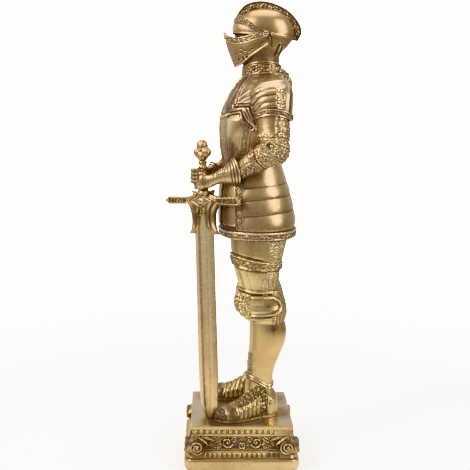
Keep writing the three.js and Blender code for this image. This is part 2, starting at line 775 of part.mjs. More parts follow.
const hands = [leftArm, rightArm].flatMap(gauntlet);
const gripRoom = fuse(standing([grip(seatGap, seatGap * 10)]));
const knight = fuse([...standing(armour(), unit), ...standing(hands)]).subtract(gripRoom);
const sword = fuse(standing(swordParts()));
const plinthSides = spread(0, 3, 4).flatMap((quarter) => plinthFace((quarter * Math.PI) / 2));
const plinth = fuse([plinthBody(), ...plinthSides]);

const statue = new THREE.Group();
statue.name = 'knight_statue';
statue.add(node('plinth', plinth), node('knight', knight), node('sword', sword));

export default statue;
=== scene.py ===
"""Medieval knight statue: a gilded resin figure in full plate armour, both hands on the grip of a
longsword whose point stands on an ornamented square plinth. The knight faces -Y and the knight's
left side is +X. Shapes are worked out in millimetres, above the plinth's top for the knight and the sword."""

import math

import bpy
import numpy as np
from mathutils import Matrix, Vector


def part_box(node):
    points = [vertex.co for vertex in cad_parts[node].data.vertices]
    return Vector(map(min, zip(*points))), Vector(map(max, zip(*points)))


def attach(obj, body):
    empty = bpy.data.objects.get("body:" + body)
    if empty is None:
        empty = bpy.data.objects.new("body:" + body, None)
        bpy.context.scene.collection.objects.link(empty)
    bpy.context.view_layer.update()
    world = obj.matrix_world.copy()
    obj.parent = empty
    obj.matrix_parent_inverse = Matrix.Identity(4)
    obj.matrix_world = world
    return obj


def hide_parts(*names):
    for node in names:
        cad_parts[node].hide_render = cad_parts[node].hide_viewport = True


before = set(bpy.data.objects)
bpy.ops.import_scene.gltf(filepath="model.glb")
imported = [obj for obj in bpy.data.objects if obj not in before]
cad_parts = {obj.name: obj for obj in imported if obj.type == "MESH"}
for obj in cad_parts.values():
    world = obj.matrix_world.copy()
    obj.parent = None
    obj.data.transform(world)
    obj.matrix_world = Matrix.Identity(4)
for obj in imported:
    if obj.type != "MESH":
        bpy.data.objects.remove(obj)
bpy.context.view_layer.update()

MM = 0.001
DRAWN_HEIGHT = 270
EDGE_ANGLE = math.radians(50)
knight_low, knight_high = (np.array(corner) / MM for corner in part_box("knight"))
plinth_low, plinth_high = (np.array(corner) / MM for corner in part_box("plinth"))
floor_z = knight_low[2]
unit = (knight_high[2] - floor_z) / DRAWN_HEIGHT
body_x = -3


# Surfaces: grids of points in millimetres
def row_at(rows, s):
    """The columns of rows [s, a, b, ...] at s, on a smooth curve, along the last axis."""
    rows = np.array(rows, float)
    s = np.asarray(s, float)
    at, values = rows[:, 0], rows[:, 1:]
    last = len(at) - 1
    order = np.arange(last + 1)
    before, after = np.maximum(order - 1, 0), np.minimum(order + 1, last)
    slope = (values[after] - values[before]) / (at[after] - at[before])[:, None]
    i = np.clip(np.searchsorted(at, s) - 1, 0, last - 1)
    width = (at[i + 1] - at[i])[..., None]
    t = np.clip((s - at[i])[..., None] / width, 0, 1)
    t2, t3 = t * t, t * t * t
    start = (2 * t3 - 3 * t2 + 1) * values[i] + (t3 - 2 * t2 + t) * width * slope[i]
    return start + (3 * t2 - 2 * t3) * values[i + 1] + (t3 - t2) * width * slope[i + 1]


def superround(v, squareness):
    """Bends a sine or cosine so that a round turns squarer."""
    return np.sign(v) * np.abs(v) ** (2 / squareness)


def ring_points(rows, level, angle, squareness=2.2, keel=0, keel_width=0.3, tilt=0, out=0):
    """Points of a body part built of level rings: rows are [z, front y, back y, half width, centre x]."""
    level, angle = np.broadcast_arrays(level, angle)
    front, back, wide, centre = np.moveaxis(row_at(rows, level), -1, 0)
    from_front = np.abs((angle + math.pi) % (2 * math.pi) - math.pi)
    crest = keel * np.exp(-((from_front / keel_width) ** 2))
    x = (wide + out) * superround(np.sin(angle), squareness)
    y = -((back - front) / 2 + out + crest) * superround(np.cos(angle), squareness)
    return np.stack([centre + x, (front + back) / 2 + y, level + tilt * y], -1)


def round_angles(count):
    """Even angles once round, in radians."""
    return np.linspace(0, 2 * math.pi, count, endpoint=False)


def even_angles(rows, level, count, form):
    """Angles from the back over the front to the back again, evenly spaced along the ring."""
    many = np.linspace(-math.pi, math.pi, 4001)
    p = ring_points(rows, np.full(many.shape, float(level)), many, **form)
    run = np.concatenate([[0], np.cumsum(np.linalg.norm(np.diff(p, axis=0), axis=1))])
    half = count // 2
    middle = run[2000]
    left = np.interp(np.linspace(0, middle, half, endpoint=False), run, many)
    right = np.interp(np.linspace(middle, run[-1], count - half, endpoint=False), run, many)
    return np.concatenate([left, right])


def levels(low, high, step, edges=()):
    """Heights from low to high, closer together at the edges of plates."""
    z = list(np.linspace(low, high, int(round((high - low) / step)) + 1))
    for edge in edges:
        z += [edge - 0.4, edge - 0.15, edge - 0.03, edge + 0.03, edge + 0.2, edge + 0.45, edge + 0.8]
    z = np.unique(np.clip(z, low, high))
    return z[np.concatenate([[True], np.diff(z) > 0.02])]


def limb_points(path, radii, shares, angles, across, squareness=2.0):
    """Points round a limb: path rows are [share, x, y, z], radii rows [share, half width, half height]."""
    centre = row_at(path, shares)
    radii = np.array(radii, float)
    wide, high = (np.interp(shares, radii[:, 0], radii[:, k])[:, None, None] for k in (1, 2))
    along = np.gradient(centre, axis=0)
    along /= np.linalg.norm(along, axis=1, keepdims=True)
    across = np.array(across, float)
    side = across - along * (along @ across)[:, None]
    side /= np.linalg.norm(side, axis=1, keepdims=True)
    top = np.cross(side, along)
    c = superround(np.cos(angles), squareness)[None, :, None]
    s = superround(np.sin(angles), squareness)[None, :, None]
    return centre[:, None] + side[:, None] * wide * c + top[:, None] * high * s


def ball_points(centre, radii, rows, columns):
    """An egg-shaped ball, from its top down."""
    down = np.linspace(0.04, math.pi - 0.04, rows)[:, None]
    angle = np.linspace(-math.pi, math.pi, columns, endpoint=False)[None, :]
    unit_ball = [np.sin(down) * np.sin(angle), -np.sin(down) * np.cos(angle), np.cos(down) + 0 * angle]
    return np.array(centre, float) + np.stack(unit_ball, -1) * np.array(radii, float)


class Site:
    """What a relief is drawn from: place, normal, and millimetres along (a) and across (b) the grid."""

    def __init__(self, points, wrap, hub):
        self.points, self.wrap = points, wrap
        self.x, self.y, self.z = np.moveaxis(points, -1, 0)
        if wrap:
            ahead, behind = np.roll(points, -1, 1), np.roll(points, 1, 1)
            hub = points.mean(1, keepdims=True)
        else:
            ahead = np.concatenate([points[:, 1:], points[:, -1:]], 1)
            behind = np.concatenate([points[:, :1], points[:, :-1]], 1)
        below = np.concatenate([points[1:], points[-1:]], 0)
        above = np.concatenate([points[:1], points[:-1]], 0)
        normal = np.cross(ahead - behind, below - above)
        length = np.linalg.norm(normal, axis=-1, keepdims=True)
        normal /= np.maximum(length, 1e-9)
        if (normal * (points - hub)).sum() < 0:
            normal = -normal
        self.normal = normal
        step = np.linalg.norm(np.diff(points, axis=1), axis=-1)
        run = np.concatenate([np.zeros((len(points), 1)), np.cumsum(step, 1)], 1)
        middle = points.shape[1] // 2
        self.a = run - run[:, middle:middle + 1]
        self.girth = run[:, -1].mean() + step[:, -1].mean()
        drop = np.linalg.norm(np.diff(points, axis=0), axis=-1)
        self.b = np.concatenate([np.zeros((1, points.shape[1])), np.cumsum(drop, 0)], 0)

    def trace(self, places):
        """The (a, z) of the grid's points nearest to places (x, y, z)."""
        found = []
        for place in places:
            nearest = np.argmin(((self.points - np.array(place)) ** 2).sum(-1))
            found.append((self.a.flat[nearest], self.z.flat[nearest]))
        return found

    def hollows(self, height, reach=0.8):
        """How far each point stands above, or lies below, the mean height around it."""
        across, along = self.b.mean(1), self.a.mean(0)
        apart = np.abs(along[:, None] - along[None])
        if self.wrap:
            apart = np.minimum(apart, np.abs(self.girth - apart))
        down = np.abs(across[:, None] - across[None])
        near_u = np.exp(-((apart / reach) ** 2)) * np.abs(np.gradient(along))[None]
        near_v = np.exp(-((down / reach) ** 2)) * (np.abs(np.gradient(across))[None] + 1e-4)
        near_u /= near_u.sum(1, keepdims=True)
        near_v /= near_v.sum(1, keepdims=True)
        return height - near_v @ height @ near_u.T


def grid_faces(rows, columns, wrap):
    """The four-sided faces of a grid, joined round where it wraps."""
    across = columns if wrap else columns - 1
    i, j = np.meshgrid(np.arange(rows - 1), np.arange(across), indexing="ij")
    here = i * columns + j
    beside = i * columns + (j + 1) % columns
    return np.stack([here, beside, beside + columns, here + columns], -1).reshape(-1, 4)


def border_loop(rows, columns):
    """The grid's outer points in the order that its faces run along them."""
    top = np.arange(columns)
    right = np.arange(1, rows) * columns + columns - 1
    bottom = (rows - 1) * columns + np.arange(columns - 2, -1, -1)
    left = np.arange(rows - 2, 0, -1) * columns
    return np.concatenate([top, right, bottom, left])


class Clay:
    """One piece of the statue, gathered from closed shells, with the patina of each point and the shade and
    highlights painted on it.
    """

    def __init__(self, name, slot, node, size=1.0, lift=0.0):
        self.name, self.slot, self.node, self.size, self.lift = name, slot, node, size, lift
        self.points, self.patina, self.quads, self.tris, self.count = [], [], [], [], 0

    def keep(self, points, patina, quads, tris):
        corners = [tris[:, [0, 1, 2]], quads[:, [0, 1, 2]], quads[:, [0, 2, 3]]]
        a, b, c = np.moveaxis(points[np.concatenate(corners)], 1, 0)
        if (a * np.cross(b, c)).sum() < 0:
            quads, tris = quads[:, ::-1], tris[:, ::-1]
        self.points.append(points)
        self.patina.append(patina)
        self.quads.append(quads + self.count)
        self.tris.append(tris + self.count)
        self.count += len(points)

    def tube(self, grid, patina):
        """A shell round a hollow, shut by a flat end at each end."""
        rows, columns = grid.shape[:2]
        size = rows * columns
        points = np.concatenate([grid.reshape(-1, 3), [grid[0].mean(0), grid[-1].mean(0)]])
        stain = np.concatenate([patina.ravel(), [patina[0].mean(), patina[-1].mean()]])
        k = np.arange(columns)
        after = (k + 1) % columns
        far = (rows - 1) * columns
        first = np.stack([after, k, np.full(columns, size)], -1)
        last = np.stack([far + k, far + after, np.full(columns, size + 1)], -1)
        self.keep(points, stain, grid_faces(rows, columns, True), np.concatenate([first, last]))

    def patch(self, grid, patina, hub):
        """A shell that lies on another: its back runs in to one point, the hub."""
        rows, columns = grid.shape[:2]
        loop = border_loop(rows, columns)
        points = np.concatenate([grid.reshape(-1, 3), [hub]])
        stain = np.concatenate([patina.ravel(), [0]])
        back = np.stack([np.roll(loop, -1), loop, np.full(len(loop), rows * columns)], -1)
        self.keep(points, stain, grid_faces(rows, columns, False), back)

    def plate(self, outer, inner, patina):
        """A thin plate between two grids of the same size."""
        rows, columns = outer.shape[:2]
        size = rows * columns
        faces = grid_faces(rows, columns, False)
        loop = border_loop(rows, columns)
        after = np.roll(loop, -1)
        rim = np.stack([after, loop, loop + size, after + size], -1)
        points = np.concatenate([outer.reshape(-1, 3), inner.reshape(-1, 3)])
        stain = np.concatenate([patina.ravel(), np.full(size, -0.4)])
        quads = np.concatenate([faces, faces[:, ::-1] + size, rim])
        self.keep(points, stain, quads, np.zeros((0, 3), int))

    def sculpt(self, grid, relief=None, wrap=True, hub=None, inner=None, stain=0.0, level=None, reach=0.8):
        """Adds a shell whose surface is raised by relief(site), in millimetres."""
        site = Site(grid, wrap, None if hub is None else np.array(hub, float))
        site.level = site.z if level is None else np.broadcast_to(level, site.z.shape)
        height = np.zeros(grid.shape[:2]) if relief is None else relief(site) + 0 * site.x
        # Patina from the hollows, plus what the relief adds: more patina, and painted shade and highlights on
        # some parts.
        patina = site.hollows(height, reach) * 2.4 + getattr(site, "stain", 0) + stain
        raised = grid + site.normal * height[..., None]
        if wrap:
            self.tube(raised, patina)
        elif inner:
            self.plate(raised, grid - site.normal * inner, patina)
        else:
            self.patch(raised, patina, np.array(hub, float))

    def finish(self, material):
        points = np.concatenate(self.points) * self.size
        points[:, 2] += self.lift
        quads, tris = np.concatenate(self.quads), np.concatenate(self.tris)
        mesh = bpy.data.meshes.new(self.name)
        mesh.vertices.add(len(points))
        mesh.vertices.foreach_set("co", (points * MM).ravel())
        corners = np.concatenate([quads.ravel(), tris.ravel()])
        totals = np.concatenate([np.full(len(quads), 4), np.full(len(tris), 3)])
        mesh.loops.add(len(corners))
        mesh.loops.foreach_set("vertex_index", corners.astype(np.int32))
        mesh.polygons.add(len(totals))
        starts = np.concatenate([[0], np.cumsum(totals)[:-1]])
        mesh.polygons.foreach_set("loop_start", starts.astype(np.int32))
        mesh.polygons.foreach_set("loop_total", totals.astype(np.int32))
        mesh.update(calc_edges=True)
        mesh.validate()
        stain = mesh.attributes.new("patina", "FLOAT", "POINT")
        stain.data.foreach_set("value", np.clip(np.concatenate(self.patina), -1, 1))
        mesh.polygons.foreach_set("use_smooth", np.ones(len(mesh.polygons), bool))
        mesh.set_sharp_from_angle(angle=EDGE_ANGLE)
        mesh.materials.append(material)
        piece = bpy.data.objects.new(self.name, mesh)
        bpy.context.scene.collection.objects.link(piece)
        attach(piece, "root")
        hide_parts(self.node)


# Ornament, as heights over (a, b) in millimetres, from 0 to about 1
def bead(d, half):
    """A half-round ridge: 1 where d is 0, and 0 from half on."""
    return np.sqrt(np.clip(1 - (d / half) ** 2, 0, 1))


def smooth(t):
    """0 below 0, 1 above 1, and a soft rise between."""
    t = np.clip(t, 0, 1)
    return t * t * (3 - 2 * t)


def ridge(d, half):
    """A raised line with sloping sides."""
    return smooth(1.25 - np.abs(d) / half)


def groove(d, half):
    """A soft groove, or a soft patch, that is 1 where d is 0."""
    return np.exp(-((d / half) ** 2))


def between(v, low, high, soft=0.3):
    """1 from low to high, with soft ends."""
    return smooth((v - low) / soft + 0.5) * smooth((high - v) / soft + 0.5)


def line_distance(a, b, points):
    """How far (a, b) lies from a line that runs from point to point."""
    best = np.full(np.broadcast(a, b).shape, 1e9)
    for (a0, b0), (a1, b1) in zip(points[:-1], points[1:]):
        da, db = a1 - a0, b1 - b0
        t = np.clip(((a - a0) * da + (b - b0) * db) / max(da * da + db * db, 1e-9), 0, 1)
        best = np.minimum(best, np.hypot(a - a0 - t * da, b - b0 - t * db))
    return best


def chance(i, j, seed):
    """A number from 0 to 1 for each cell of a pattern."""
    v = np.sin(i * 127.1 + j * 311.7 + seed * 74.7) * 43758.5453
    return v - np.floor(v)


def spiral(turns, start):
    """A curl of unit radius that winds in from the angle start."""
    t = np.linspace(0, 1, 16)
    radius = 1 - 0.88 * t
    angle = start + turns * 2 * math.pi * t
    return list(zip(radius * np.cos(angle), radius * np.sin(angle)))


CURL = spiral(1.35, math.radians(200))


def scroll(a, b, period, half):
    """A running vine along a band: a waving stem with a curl and leaves in each bay."""
    bay = np.floor(a / period)
    x = (a - (bay + 0.5) * period) / period
    y = b / half * np.where(bay % 2 > 0.5, -1, 1)
    stretch = half / period
    stem = np.abs(y + 0.66 * np.cos(math.pi * x)) * 0.85
    curl = line_distance(x / stretch / 0.62 - 0.1, (y - 0.12) / 0.62, CURL) * 0.62
    leaves = np.full(x.shape, 1e9)
    for lx, ly, lean in ((-0.36, 0.5, 0.5), (0.4, 0.52, -0.5), (-0.2, -0.16, 0.9), (0.34, -0.1, -0.9)):
        u = (x - lx) / stretch
        v = y - ly
        along, across = u * math.cos(lean) + v * math.sin(lean), v * math.cos(lean) - u * math.sin(lean)
        leaves = np.minimum(leaves, np.hypot(along / 0.3, across / 0.13))
    vine = np.maximum(bead(stem, 0.17), bead(curl, 0.17))
    heart = bead(np.hypot(x / stretch - 0.06, y - 0.12), 0.2)
    return np.maximum.reduce([vine, heart, bead(leaves, 1) * 0.8])


def rosette(x, y, radius, petals):
    """A round flower with a button in its middle."""
    r = np.hypot(x, y) / radius
    swing = np.abs(np.cos(petals * np.arctan2(y, x) / 2))
    petal = bead((r - 0.62) / (0.38 * (0.35 + 0.65 * swing)), 1) * (0.55 + 0.45 * swing)
    return np.maximum(petal, bead(r, 0.3))


def curls(a, b, size, seed):
    """Small curled leaves packed over a surface, each turned its own way."""
    row = np.floor(b / size)
    shift = (row % 2) * 0.5
    column = np.floor(a / size + shift)
    x = (a / size + shift - column - 0.5) * 2
    y = (b / size - row - 0.5) * 2
    turn = chance(row, column, seed) * 2 * math.pi
    flip = np.where(chance(row, column, seed + 3) > 0.5, 1, -1)
    u = (x * np.cos(turn) + y * np.sin(turn)) * flip
    v = y * np.cos(turn) - x * np.sin(turn)
    return np.maximum(bead(line_distance(u / 0.86, v / 0.86, CURL), 0.26), bead(np.hypot(u, v), 0.24))


def mail(a, b, pitch):
    """Rows of linked rings."""
    best = 0
    for shift in (0, 0.5):
        x = (a / pitch + shift) % 1 - 0.5
        y = ((b / pitch / 0.86 + shift) % 1 - 0.5) * 0.86
        ring = bead(np.abs(np.hypot(x, y * 1.1) - 0.3), 0.17) * (0.8 + 0.5 * y)
        best = np.maximum(best, ring)
    return best


def beads(a, b, pitch, radius):
    """A row of small round beads."""
    x = (a / pitch % 1 - 0.5) * pitch
    return bead(np.hypot(x, b), radius)


def twist(a, b, pitch, half):
    """A twisted cord along an edge."""
    return bead(b, half) * (0.55 + 0.45 * np.abs(np.sin(math.pi * (a + b * 0.9) / pitch)))


def checker(a, b, pitch):
    """Raised diamonds."""
    u, v = (a + b) / pitch, (a - b) / pitch
    return np.clip(1.25 - 2.2 * np.maximum(np.abs(u % 1 - 0.5), np.abs(v % 1 - 0.5)), 0, 1)


def wobble(site, length, seed):
    """A slight unevenness of the casting, from -1 to 1."""
    draw = np.random.default_rng(seed)
    total = 0
    for _ in range(7):
        way = draw.normal(size=3)
        way *= 2 * math.pi / length / np.linalg.norm(way)
        total = total + np.sin(site.points @ way + draw.uniform(0, 6.28))
    return total / 4


def rails(b, low, high, half=0.34):
    """The two thin raised edges of a border."""
    return np.maximum(bead(b - low - half, half), bead(b - high + half, half))


def plates(level, edges, bulge):
    """Plates that each swell in the middle and meet in soft hollows."""
    height = np.zeros(level.shape)
    for low, high in zip(edges[:-1], edges[1:]):
        share = np.clip((level - low) / (high - low), 0, 1)
        height += bulge * (4 * share * (1 - share)) ** 0.65 * (1.15 - 0.45 * share)
    return height


# The armour, in drawing units above the plinth's top
def armour_piece(name):
    return Clay(name, "gilt_armour", "knight", unit, floor_z)


def ring_shell(clay, rows, heights, count, form, relief, reach=0.8, bend=None):
    """A shell over level rings. bend(points, level) gives how far each point is lifted."""
    middle = (heights[0] + heights[-1]) / 2
    angles = even_angles(rows, middle, count, form)
    level = heights[:, None]
    grid = ring_points(rows, level, angles[None, :], **form)
    if bend:
        grid[..., 2] += bend(grid, level)
    clay.sculpt(grid, relief, level=level, reach=reach)


# Helmet
skull_rows = [
    [226, -1.5, 21.5, 11.5, body_x], [232, -2.5, 21.5, 11.5, body_x], [237, -4, 22.3, 12, body_x],
    [242, -6, 26.7, 13, body_x], [248, -7.6, 30.8, 14, body_x], [254, -7.8, 30, 14, body_x],
    [259, -5.5, 27.4, 12.4, body_x], [263, 0, 22.4, 8.6, body_x], [265.4, 6.5, 16, 3, body_x],
]
skull_form = {"squareness": 2.1}
comb_middle = (13, 250)
comb_thickness = 4.6
comb_rows = [
    # share of the way, y and z of the outer edge, from the brow over the top to the nape
    [0, -8.4, 254], [0.12, -6.9, 260.4], [0.27, -1.4, 267.3], [0.42, 8, 270], [0.57, 18, 268.4],
    [0.72, 27.4, 263.6], [0.85, 33.8, 256.4], [0.94, 35.4, 250.4], [1, 33, 245.2],
]
visor_rows = [
    # share from the point to a pivot, half width, y of the rim, y of the lower edge, z of each
    [0, 0, -15.2, -7.4, 250.2, 227.8], [0.12, 3, -12.6, -6, 248, 228.3],
    [0.35, 8.2, -7.4, -2.4, 246.5, 230.2], [0.6, 12, -1.6, 2.6, 247.1, 234.4],
    [0.82, 14.2, 4.6, 8, 249, 238], [1, 15, 11, 13.6, 250.8, 241.8],
]
slit_z = 248.9
# the ornamented band over the brow: front y, and z of its lower and upper edge
brow_band = [
    [-8, 256.6, 261], [-4.3, 255.2, 259.6], [-1.5, 254.2, 258.2], [2, 252.3, 256], [5, 250.7, 254],
    [9, 248.6, 251.4],
]
neck_lines = [[(20.6, 242.2), (19.4, 239), (17.8, 235.2)], [(22.6, 240.6), (21, 237), (19.6, 234)]]
cheek_line = [(14.7, 247.4), (15.3, 244.6), (15, 241.4)]
temple_line = [(15, 248.6), (27, 247)]


def skull(clay):
    """The bowl of the helmet, creased over the neck and at the cheek."""
    def relief(s):
        side = smooth((np.abs(s.x - body_x) - 2) / 3)
        h = 0.06 * wobble(s, 13, 1)
        # Painted shade: the skull is darker low down, under the visor and towards the neck.
        s.stain = -0.28 * smooth((241 - s.z) / 7)
        for line in neck_lines:
            crease = groove(line_distance(s.y, s.z, line), 0.5) * side
            h = h - 0.8 * crease + 0.35 * bead(line_distance(s.y - 1, s.z, line), 0.6) * side
            s.stain -= 0.9 * crease
        fold = groove(line_distance(s.y, s.z, cheek_line), 0.5) * side
        h = h - 0.5 * fold + 0.3 * bead(line_distance(s.y, s.z, temple_line), 0.6) * side
        # Painted shade on the skull in the gap behind the visor's slit, under the brow.
        slit_shade = between(s.z, 240, slit_z + 0.6) * (s.y < 5)
        s.stain -= 0.25 * fold + 0.9 * slit_shade
        return h

    ring_shell(clay, skull_rows, levels(226, 265.4, 0.42), 176, skull_form, relief)


def comb(clay):
    """A thin crest: a band of scrollwork on each side between two rails, and a rounded top."""
    along = np.linspace(0, 1, 190)
    y, z = np.moveaxis(row_at(comb_rows, along), -1, 0)
    reach_y, reach_z = y - comb_middle[0], z - comb_middle[1]
    radius = np.hypot(reach_y, reach_z)
    half = comb_thickness / 2
    face = np.linspace(0, 1, 18)
    crest = np.linspace(0, math.pi, 9)[1:-1]
    foot, shoulder = 7.6, 0.6
    flank = foot - (foot - shoulder) * face
    depth = np.concatenate([flank, shoulder - shoulder * np.sin(crest), flank[::-1]])
    sideways = np.concatenate([-half + 0 * face, -half * np.cos(crest), half + 0 * face])
    narrow = np.clip((1 - np.abs(2 * along - 1)) * 8, 0.35, 1)[:, None]
    sink = depth[None, :] * np.clip(narrow, 0.8, 1)
    scale = 1 - sink / radius[:, None]
    grid = np.stack([
        body_x + sideways[None, :] * narrow ** 0.5,
        comb_middle[0] + reach_y[:, None] * scale,
        comb_middle[1] + reach_z[:, None] * scale,
    ], -1)
    run = np.concatenate([[0], np.cumsum(np.hypot(np.diff(y), np.diff(z)))])[:, None]

    def relief(s):
        across = np.broadcast_to(depth[None, :], s.x.shape)
        on_face = (across > 0.55) * 1.0
        work = scroll(run + 0 * across, across - 3.3, 4.3, 2.1)
        edge = rails(across, 0.5, 6.1, 0.34)
        s.stain = on_face * between(across, 0.9, 6.6) * (0.9 * work - 0.95) - 0.1
        return on_face * (0.7 * work * between(across, 1.1, 5.6) + 0.35 * edge) + 0.04 * wobble(s, 9, 3)

    clay.sculpt(grid, relief, reach=0.6)


def lower_visor(clay):
    """The visor's lower half: a scrolled band under its rim, then holes and slots for air."""
    share = np.linspace(-1, 1, 150)
    wide, rim_y, edge_y, rim_z, edge_z = np.moveaxis(row_at(visor_rows, np.abs(share)), -1, 0)
    t = np.linspace(0, 1, 66)[:, None]
    belly = 3.2 * t * (1 - t)
    sway = 0.06 * np.sin(math.pi * t)
    x = body_x + (np.sign(share) * wide)[None, :] * (1 + sway)
    grid = np.stack([x, rim_y + (edge_y - rim_y) * t - belly, rim_z + (edge_z - rim_z) * t], -1)
    holes = [(-4, 237.1), (-1.3, 238.4), (2.9, 239.5), (-7.2, 236.3), (0.4, 236), (-3.8, 239.6)]
    slots = [[(-5.2, 233.6), (-4.8, 232.2)], [(-2.7, 234.5), (-2.3, 233.1)], [(-0.4, 235), (0, 233.8)]]

    def relief(s):
        down = s.b
        left = s.b[-1:] - s.b
        h = 0.5 * rails(down, 0, 4.3, 0.4)
        h += 0.42 * scroll(s.a, down - 2.15, 3.9, 1.6) * between(down, 0.7, 3.7)
        h += 0.45 * bead(left - 0.7, 0.75) - 0.35 * groove(left - 1.9, 0.4)
        s.stain = -0.35 * between(down, 0.8, 3.6)
        bored = [(np.hypot(s.y - y, s.z - z), 0.55) for y, z in holes]
        bored += [(line_distance(s.y, s.z, slot), 0.38) for slot in slots]
        for d, half in bored:
            pit = np.exp(-((d / half) ** 4))
            h -= 0.7 * pit
            s.stain -= 1.6 * pit
        return h

    clay.sculpt(grid, relief, wrap=False, hub=(body_x, 8, 242), inner=1.3, reach=0.7)


def upper_visor(clay):
    """The brow: smooth, with an ornamented band along its top from pivot to pivot."""
    share = np.linspace(-1, 1, 150)
    t = np.linspace(0, 1, 44)[:, None]
    brow_level, pivot_turn = 253.0, 1.5
    angle = share * pivot_turn
    at_y = ring_points(skull_rows, brow_level, angle, **skull_form)[:, 1]
    band_y, band_low, band_top = np.array(brow_band).T
    low, top = np.interp(at_y, band_y, band_low), np.interp(at_y, band_y, band_top)
    bottom = np.minimum(slit_z + 0.1 - 1.6 * np.abs(share) ** 2, low - 0.5)
    level = bottom + (top - bottom) * t
    grid = ring_points(skull_rows, level, angle[None, :], out=0.85, **skull_form)
    brow_width = top - low

    def relief(s):
        up = (level - low) / brow_width
        edge = s.b[-1:] - s.b
        fold = bead((level - (bottom + low) / 2) / (low - bottom) * 2, 1.1) * (up < 0)
        h = 0.8 * smooth(up * 6 + 0.5) + 0.5 * fold
        work = scroll(s.a, (up - 0.5) * 3.4, 3.6, 1.45)
        h += 0.4 * work * between(up, 0.12, 0.88, 0.1) + 0.3 * rails(up * brow_width, 0, brow_width, 0.3)
        s.stain = -0.05 - 0.4 * between(up, 0.12, 0.88, 0.1) - 0.3 * between(up, -0.12, 0.02, 0.1)
        h -= 0.6 * smooth(1 - edge / 0.4)
        h += 0.3 * bead(s.b - 0.5, 0.5)
        return h

    clay.sculpt(grid, relief, wrap=False, hub=(body_x, 10, 250), reach=0.7)


def stud(clay, place, facing, radius, petals, depth=1.0, sink=1.2):
    """A small round boss with petals, on a surface that faces that way."""
    facing = np.array(facing, float) / np.linalg.norm(facing)
    side = np.cross(facing, (0.0, 0.2, 1.0))
    side /= np.linalg.norm(side)
    top = np.cross(side, facing)
    r = np.linspace(0.03, 1, 14)[:, None]
    angle = round_angles(40)[None, :]
    u, v = r * radius * np.cos(angle), r * radius * np.sin(angle)
    flower = rosette(u, v, radius * 0.92, petals)
    height = depth * (flower * 0.75 + 0.3 * smooth((1 - r) * 4)) - sink * (r > 0.985)
    grid = np.array(place) + u[..., None] * side + v[..., None] * top + height[..., None] * facing
    patina = np.clip(height - 0.55 * depth, -0.6, 0.5)
    clay.tube(grid, patina)


def pivots(clay):
    for side in (1, -1):
        stud(clay, (body_x + side * 14.6, 11.2, 248.6), (side, 0, 0), 2.5, 6, 1.5)
        stud(clay, (body_x + side * 14.1, 15.4, 248.5), (side, 0.3, 0), 1.5, 4, 1.1)


# Collar and the ornamented band at its foot
collar_rows = [
    [216, -4.5, 30, 23, body_x], [219, -3.2, 29.6, 19.5, body_x], [222, -2, 29, 15.2, body_x],
    [225, -1.8, 27, 13.8, body_x], [228, -1.8, 23.4, 13.4, body_x], [231, -2, 21.6, 13.2, body_x],
]


def collar(clay):
    """A rim, a band of flowers and vines under it, and a leafy yoke over the back."""
    def relief(s):
        front = smooth((16 - s.y) / 1.6)
        up = s.level - 222
        high = 6.8
        h = 0.8 * bead(s.level - 229.6, 0.85) + front * 0.5 * smooth((up + 0.2) / 0.5) * (s.level < 228.9)
        h += 0.45 * rails(up, 0, high, 0.45) * smooth((20 - s.y) / 3)
        pitch = 7.2
        across = (s.a / pitch % 1 - 0.5) * pitch
        flower = rosette(across, up - high / 2, 2.9, 5)
        vine = scroll(s.a + pitch / 2, up - high / 2, pitch, high / 2 - 0.7)
        near = smooth((3.1 - np.hypot(across, up - high / 2)) / 0.4)
        pits = bead(np.hypot(np.abs(across) - pitch / 2, up - high / 2), 0.8) * front
        field = between(up, 0.8, high - 0.8) * front
        work = (flower * near + vine * (1 - near)) * field
        s.stain = -0.25 * field - 0.6 * pits - 0.35 * between(s.level, 219, 221.8, 0.6) * front
        behind = smooth((s.y - 17.6) / 1.2) * between(up, 0.7, high - 0.7)
        trail = scroll(s.a, up - high / 2, 5, 2.3)
        h += 0.6 * trail * behind
        s.stain -= behind * (0.45 - 0.55 * trail)
        slope = s.b / s.b[np.searchsorted(s.level[:, 0], 222)]
        yoke = smooth((s.y - 13) / 3) * (slope < 1)
        leaves = scroll(s.a, slope * 6 - 3.2, 4.8, 1.9) * between(slope, 0.2, 0.86, 0.05)
        h += yoke * (0.45 * rails(slope * 6, 0.6, 5.8, 0.42) + 0.75 * leaves)
        s.stain -= yoke * (0.45 - 0.6 * leaves)
        return h + 0.6 * work - 0.25 * pits

    def bend(points, level):
        """The collar's edges rise over the shoulders."""
        side = np.clip(np.abs(points[..., 0] - body_x) / 13, 0, 1) ** 2
        lift = side * 2.6 * smooth((level - 214) / 8) + 0.04 * (points[..., 1] - 10)
        return lift - smooth((level - 217) / 4)

    ring_shell(clay, collar_rows, levels(216, 230.4, 0.3, (222, 228.9)), 230, {}, relief, 0.7, bend)


# Cuirass. Lines are drawn through places (x, y, z) on the knight's left and mirrored.
cuirass_rows = [
    [160, -12, 23.6, 19, body_x], [168, -12.9, 24.2, 20, body_x], [175, -14.2, 25.2, 22, body_x],
    [183, -15, 26.6, 24.4, body_x], [192, -15.2, 28, 26.4, body_x], [201, -13.6, 29.4, 27.2, body_x],
    [209, -10.2, 30.4, 25.6, body_x], [217, -5.4, 30, 22, body_x], [221, -2.4, 27.6, 17.6, body_x],
    [225, -0.4, 23.6, 13, body_x],
]
cuirass_form = {"squareness": 2.3, "keel": 1.2, "keel_width": 0.28}
yoke_inner = [(8.7, 3, 222.3), (11.8, -1.1, 217.4), (13, -4.5, 212.5), (16.7, -6.7, 204.6)]
yoke_outer = [(3.5, -0.8, 222.3), (8.4, -5.4, 213.6), (10.4, -10.6, 202.9)]
armpit_upper = [
    (16.7, -6.7, 203.9), (20.8, -1.9, 204.2), (23.6, 2.6, 204.6), (24, 4.1, 198.9), (23.2, 6.5, 193.5),
]
armpit_lower = [
    (11.8, -10.3, 197.2), (13.8, -10.3, 198.4), (20.7, -4.3, 199.7), (22.2, -1.4, 194.4),
    (23.1, 2.3, 190.7),
]
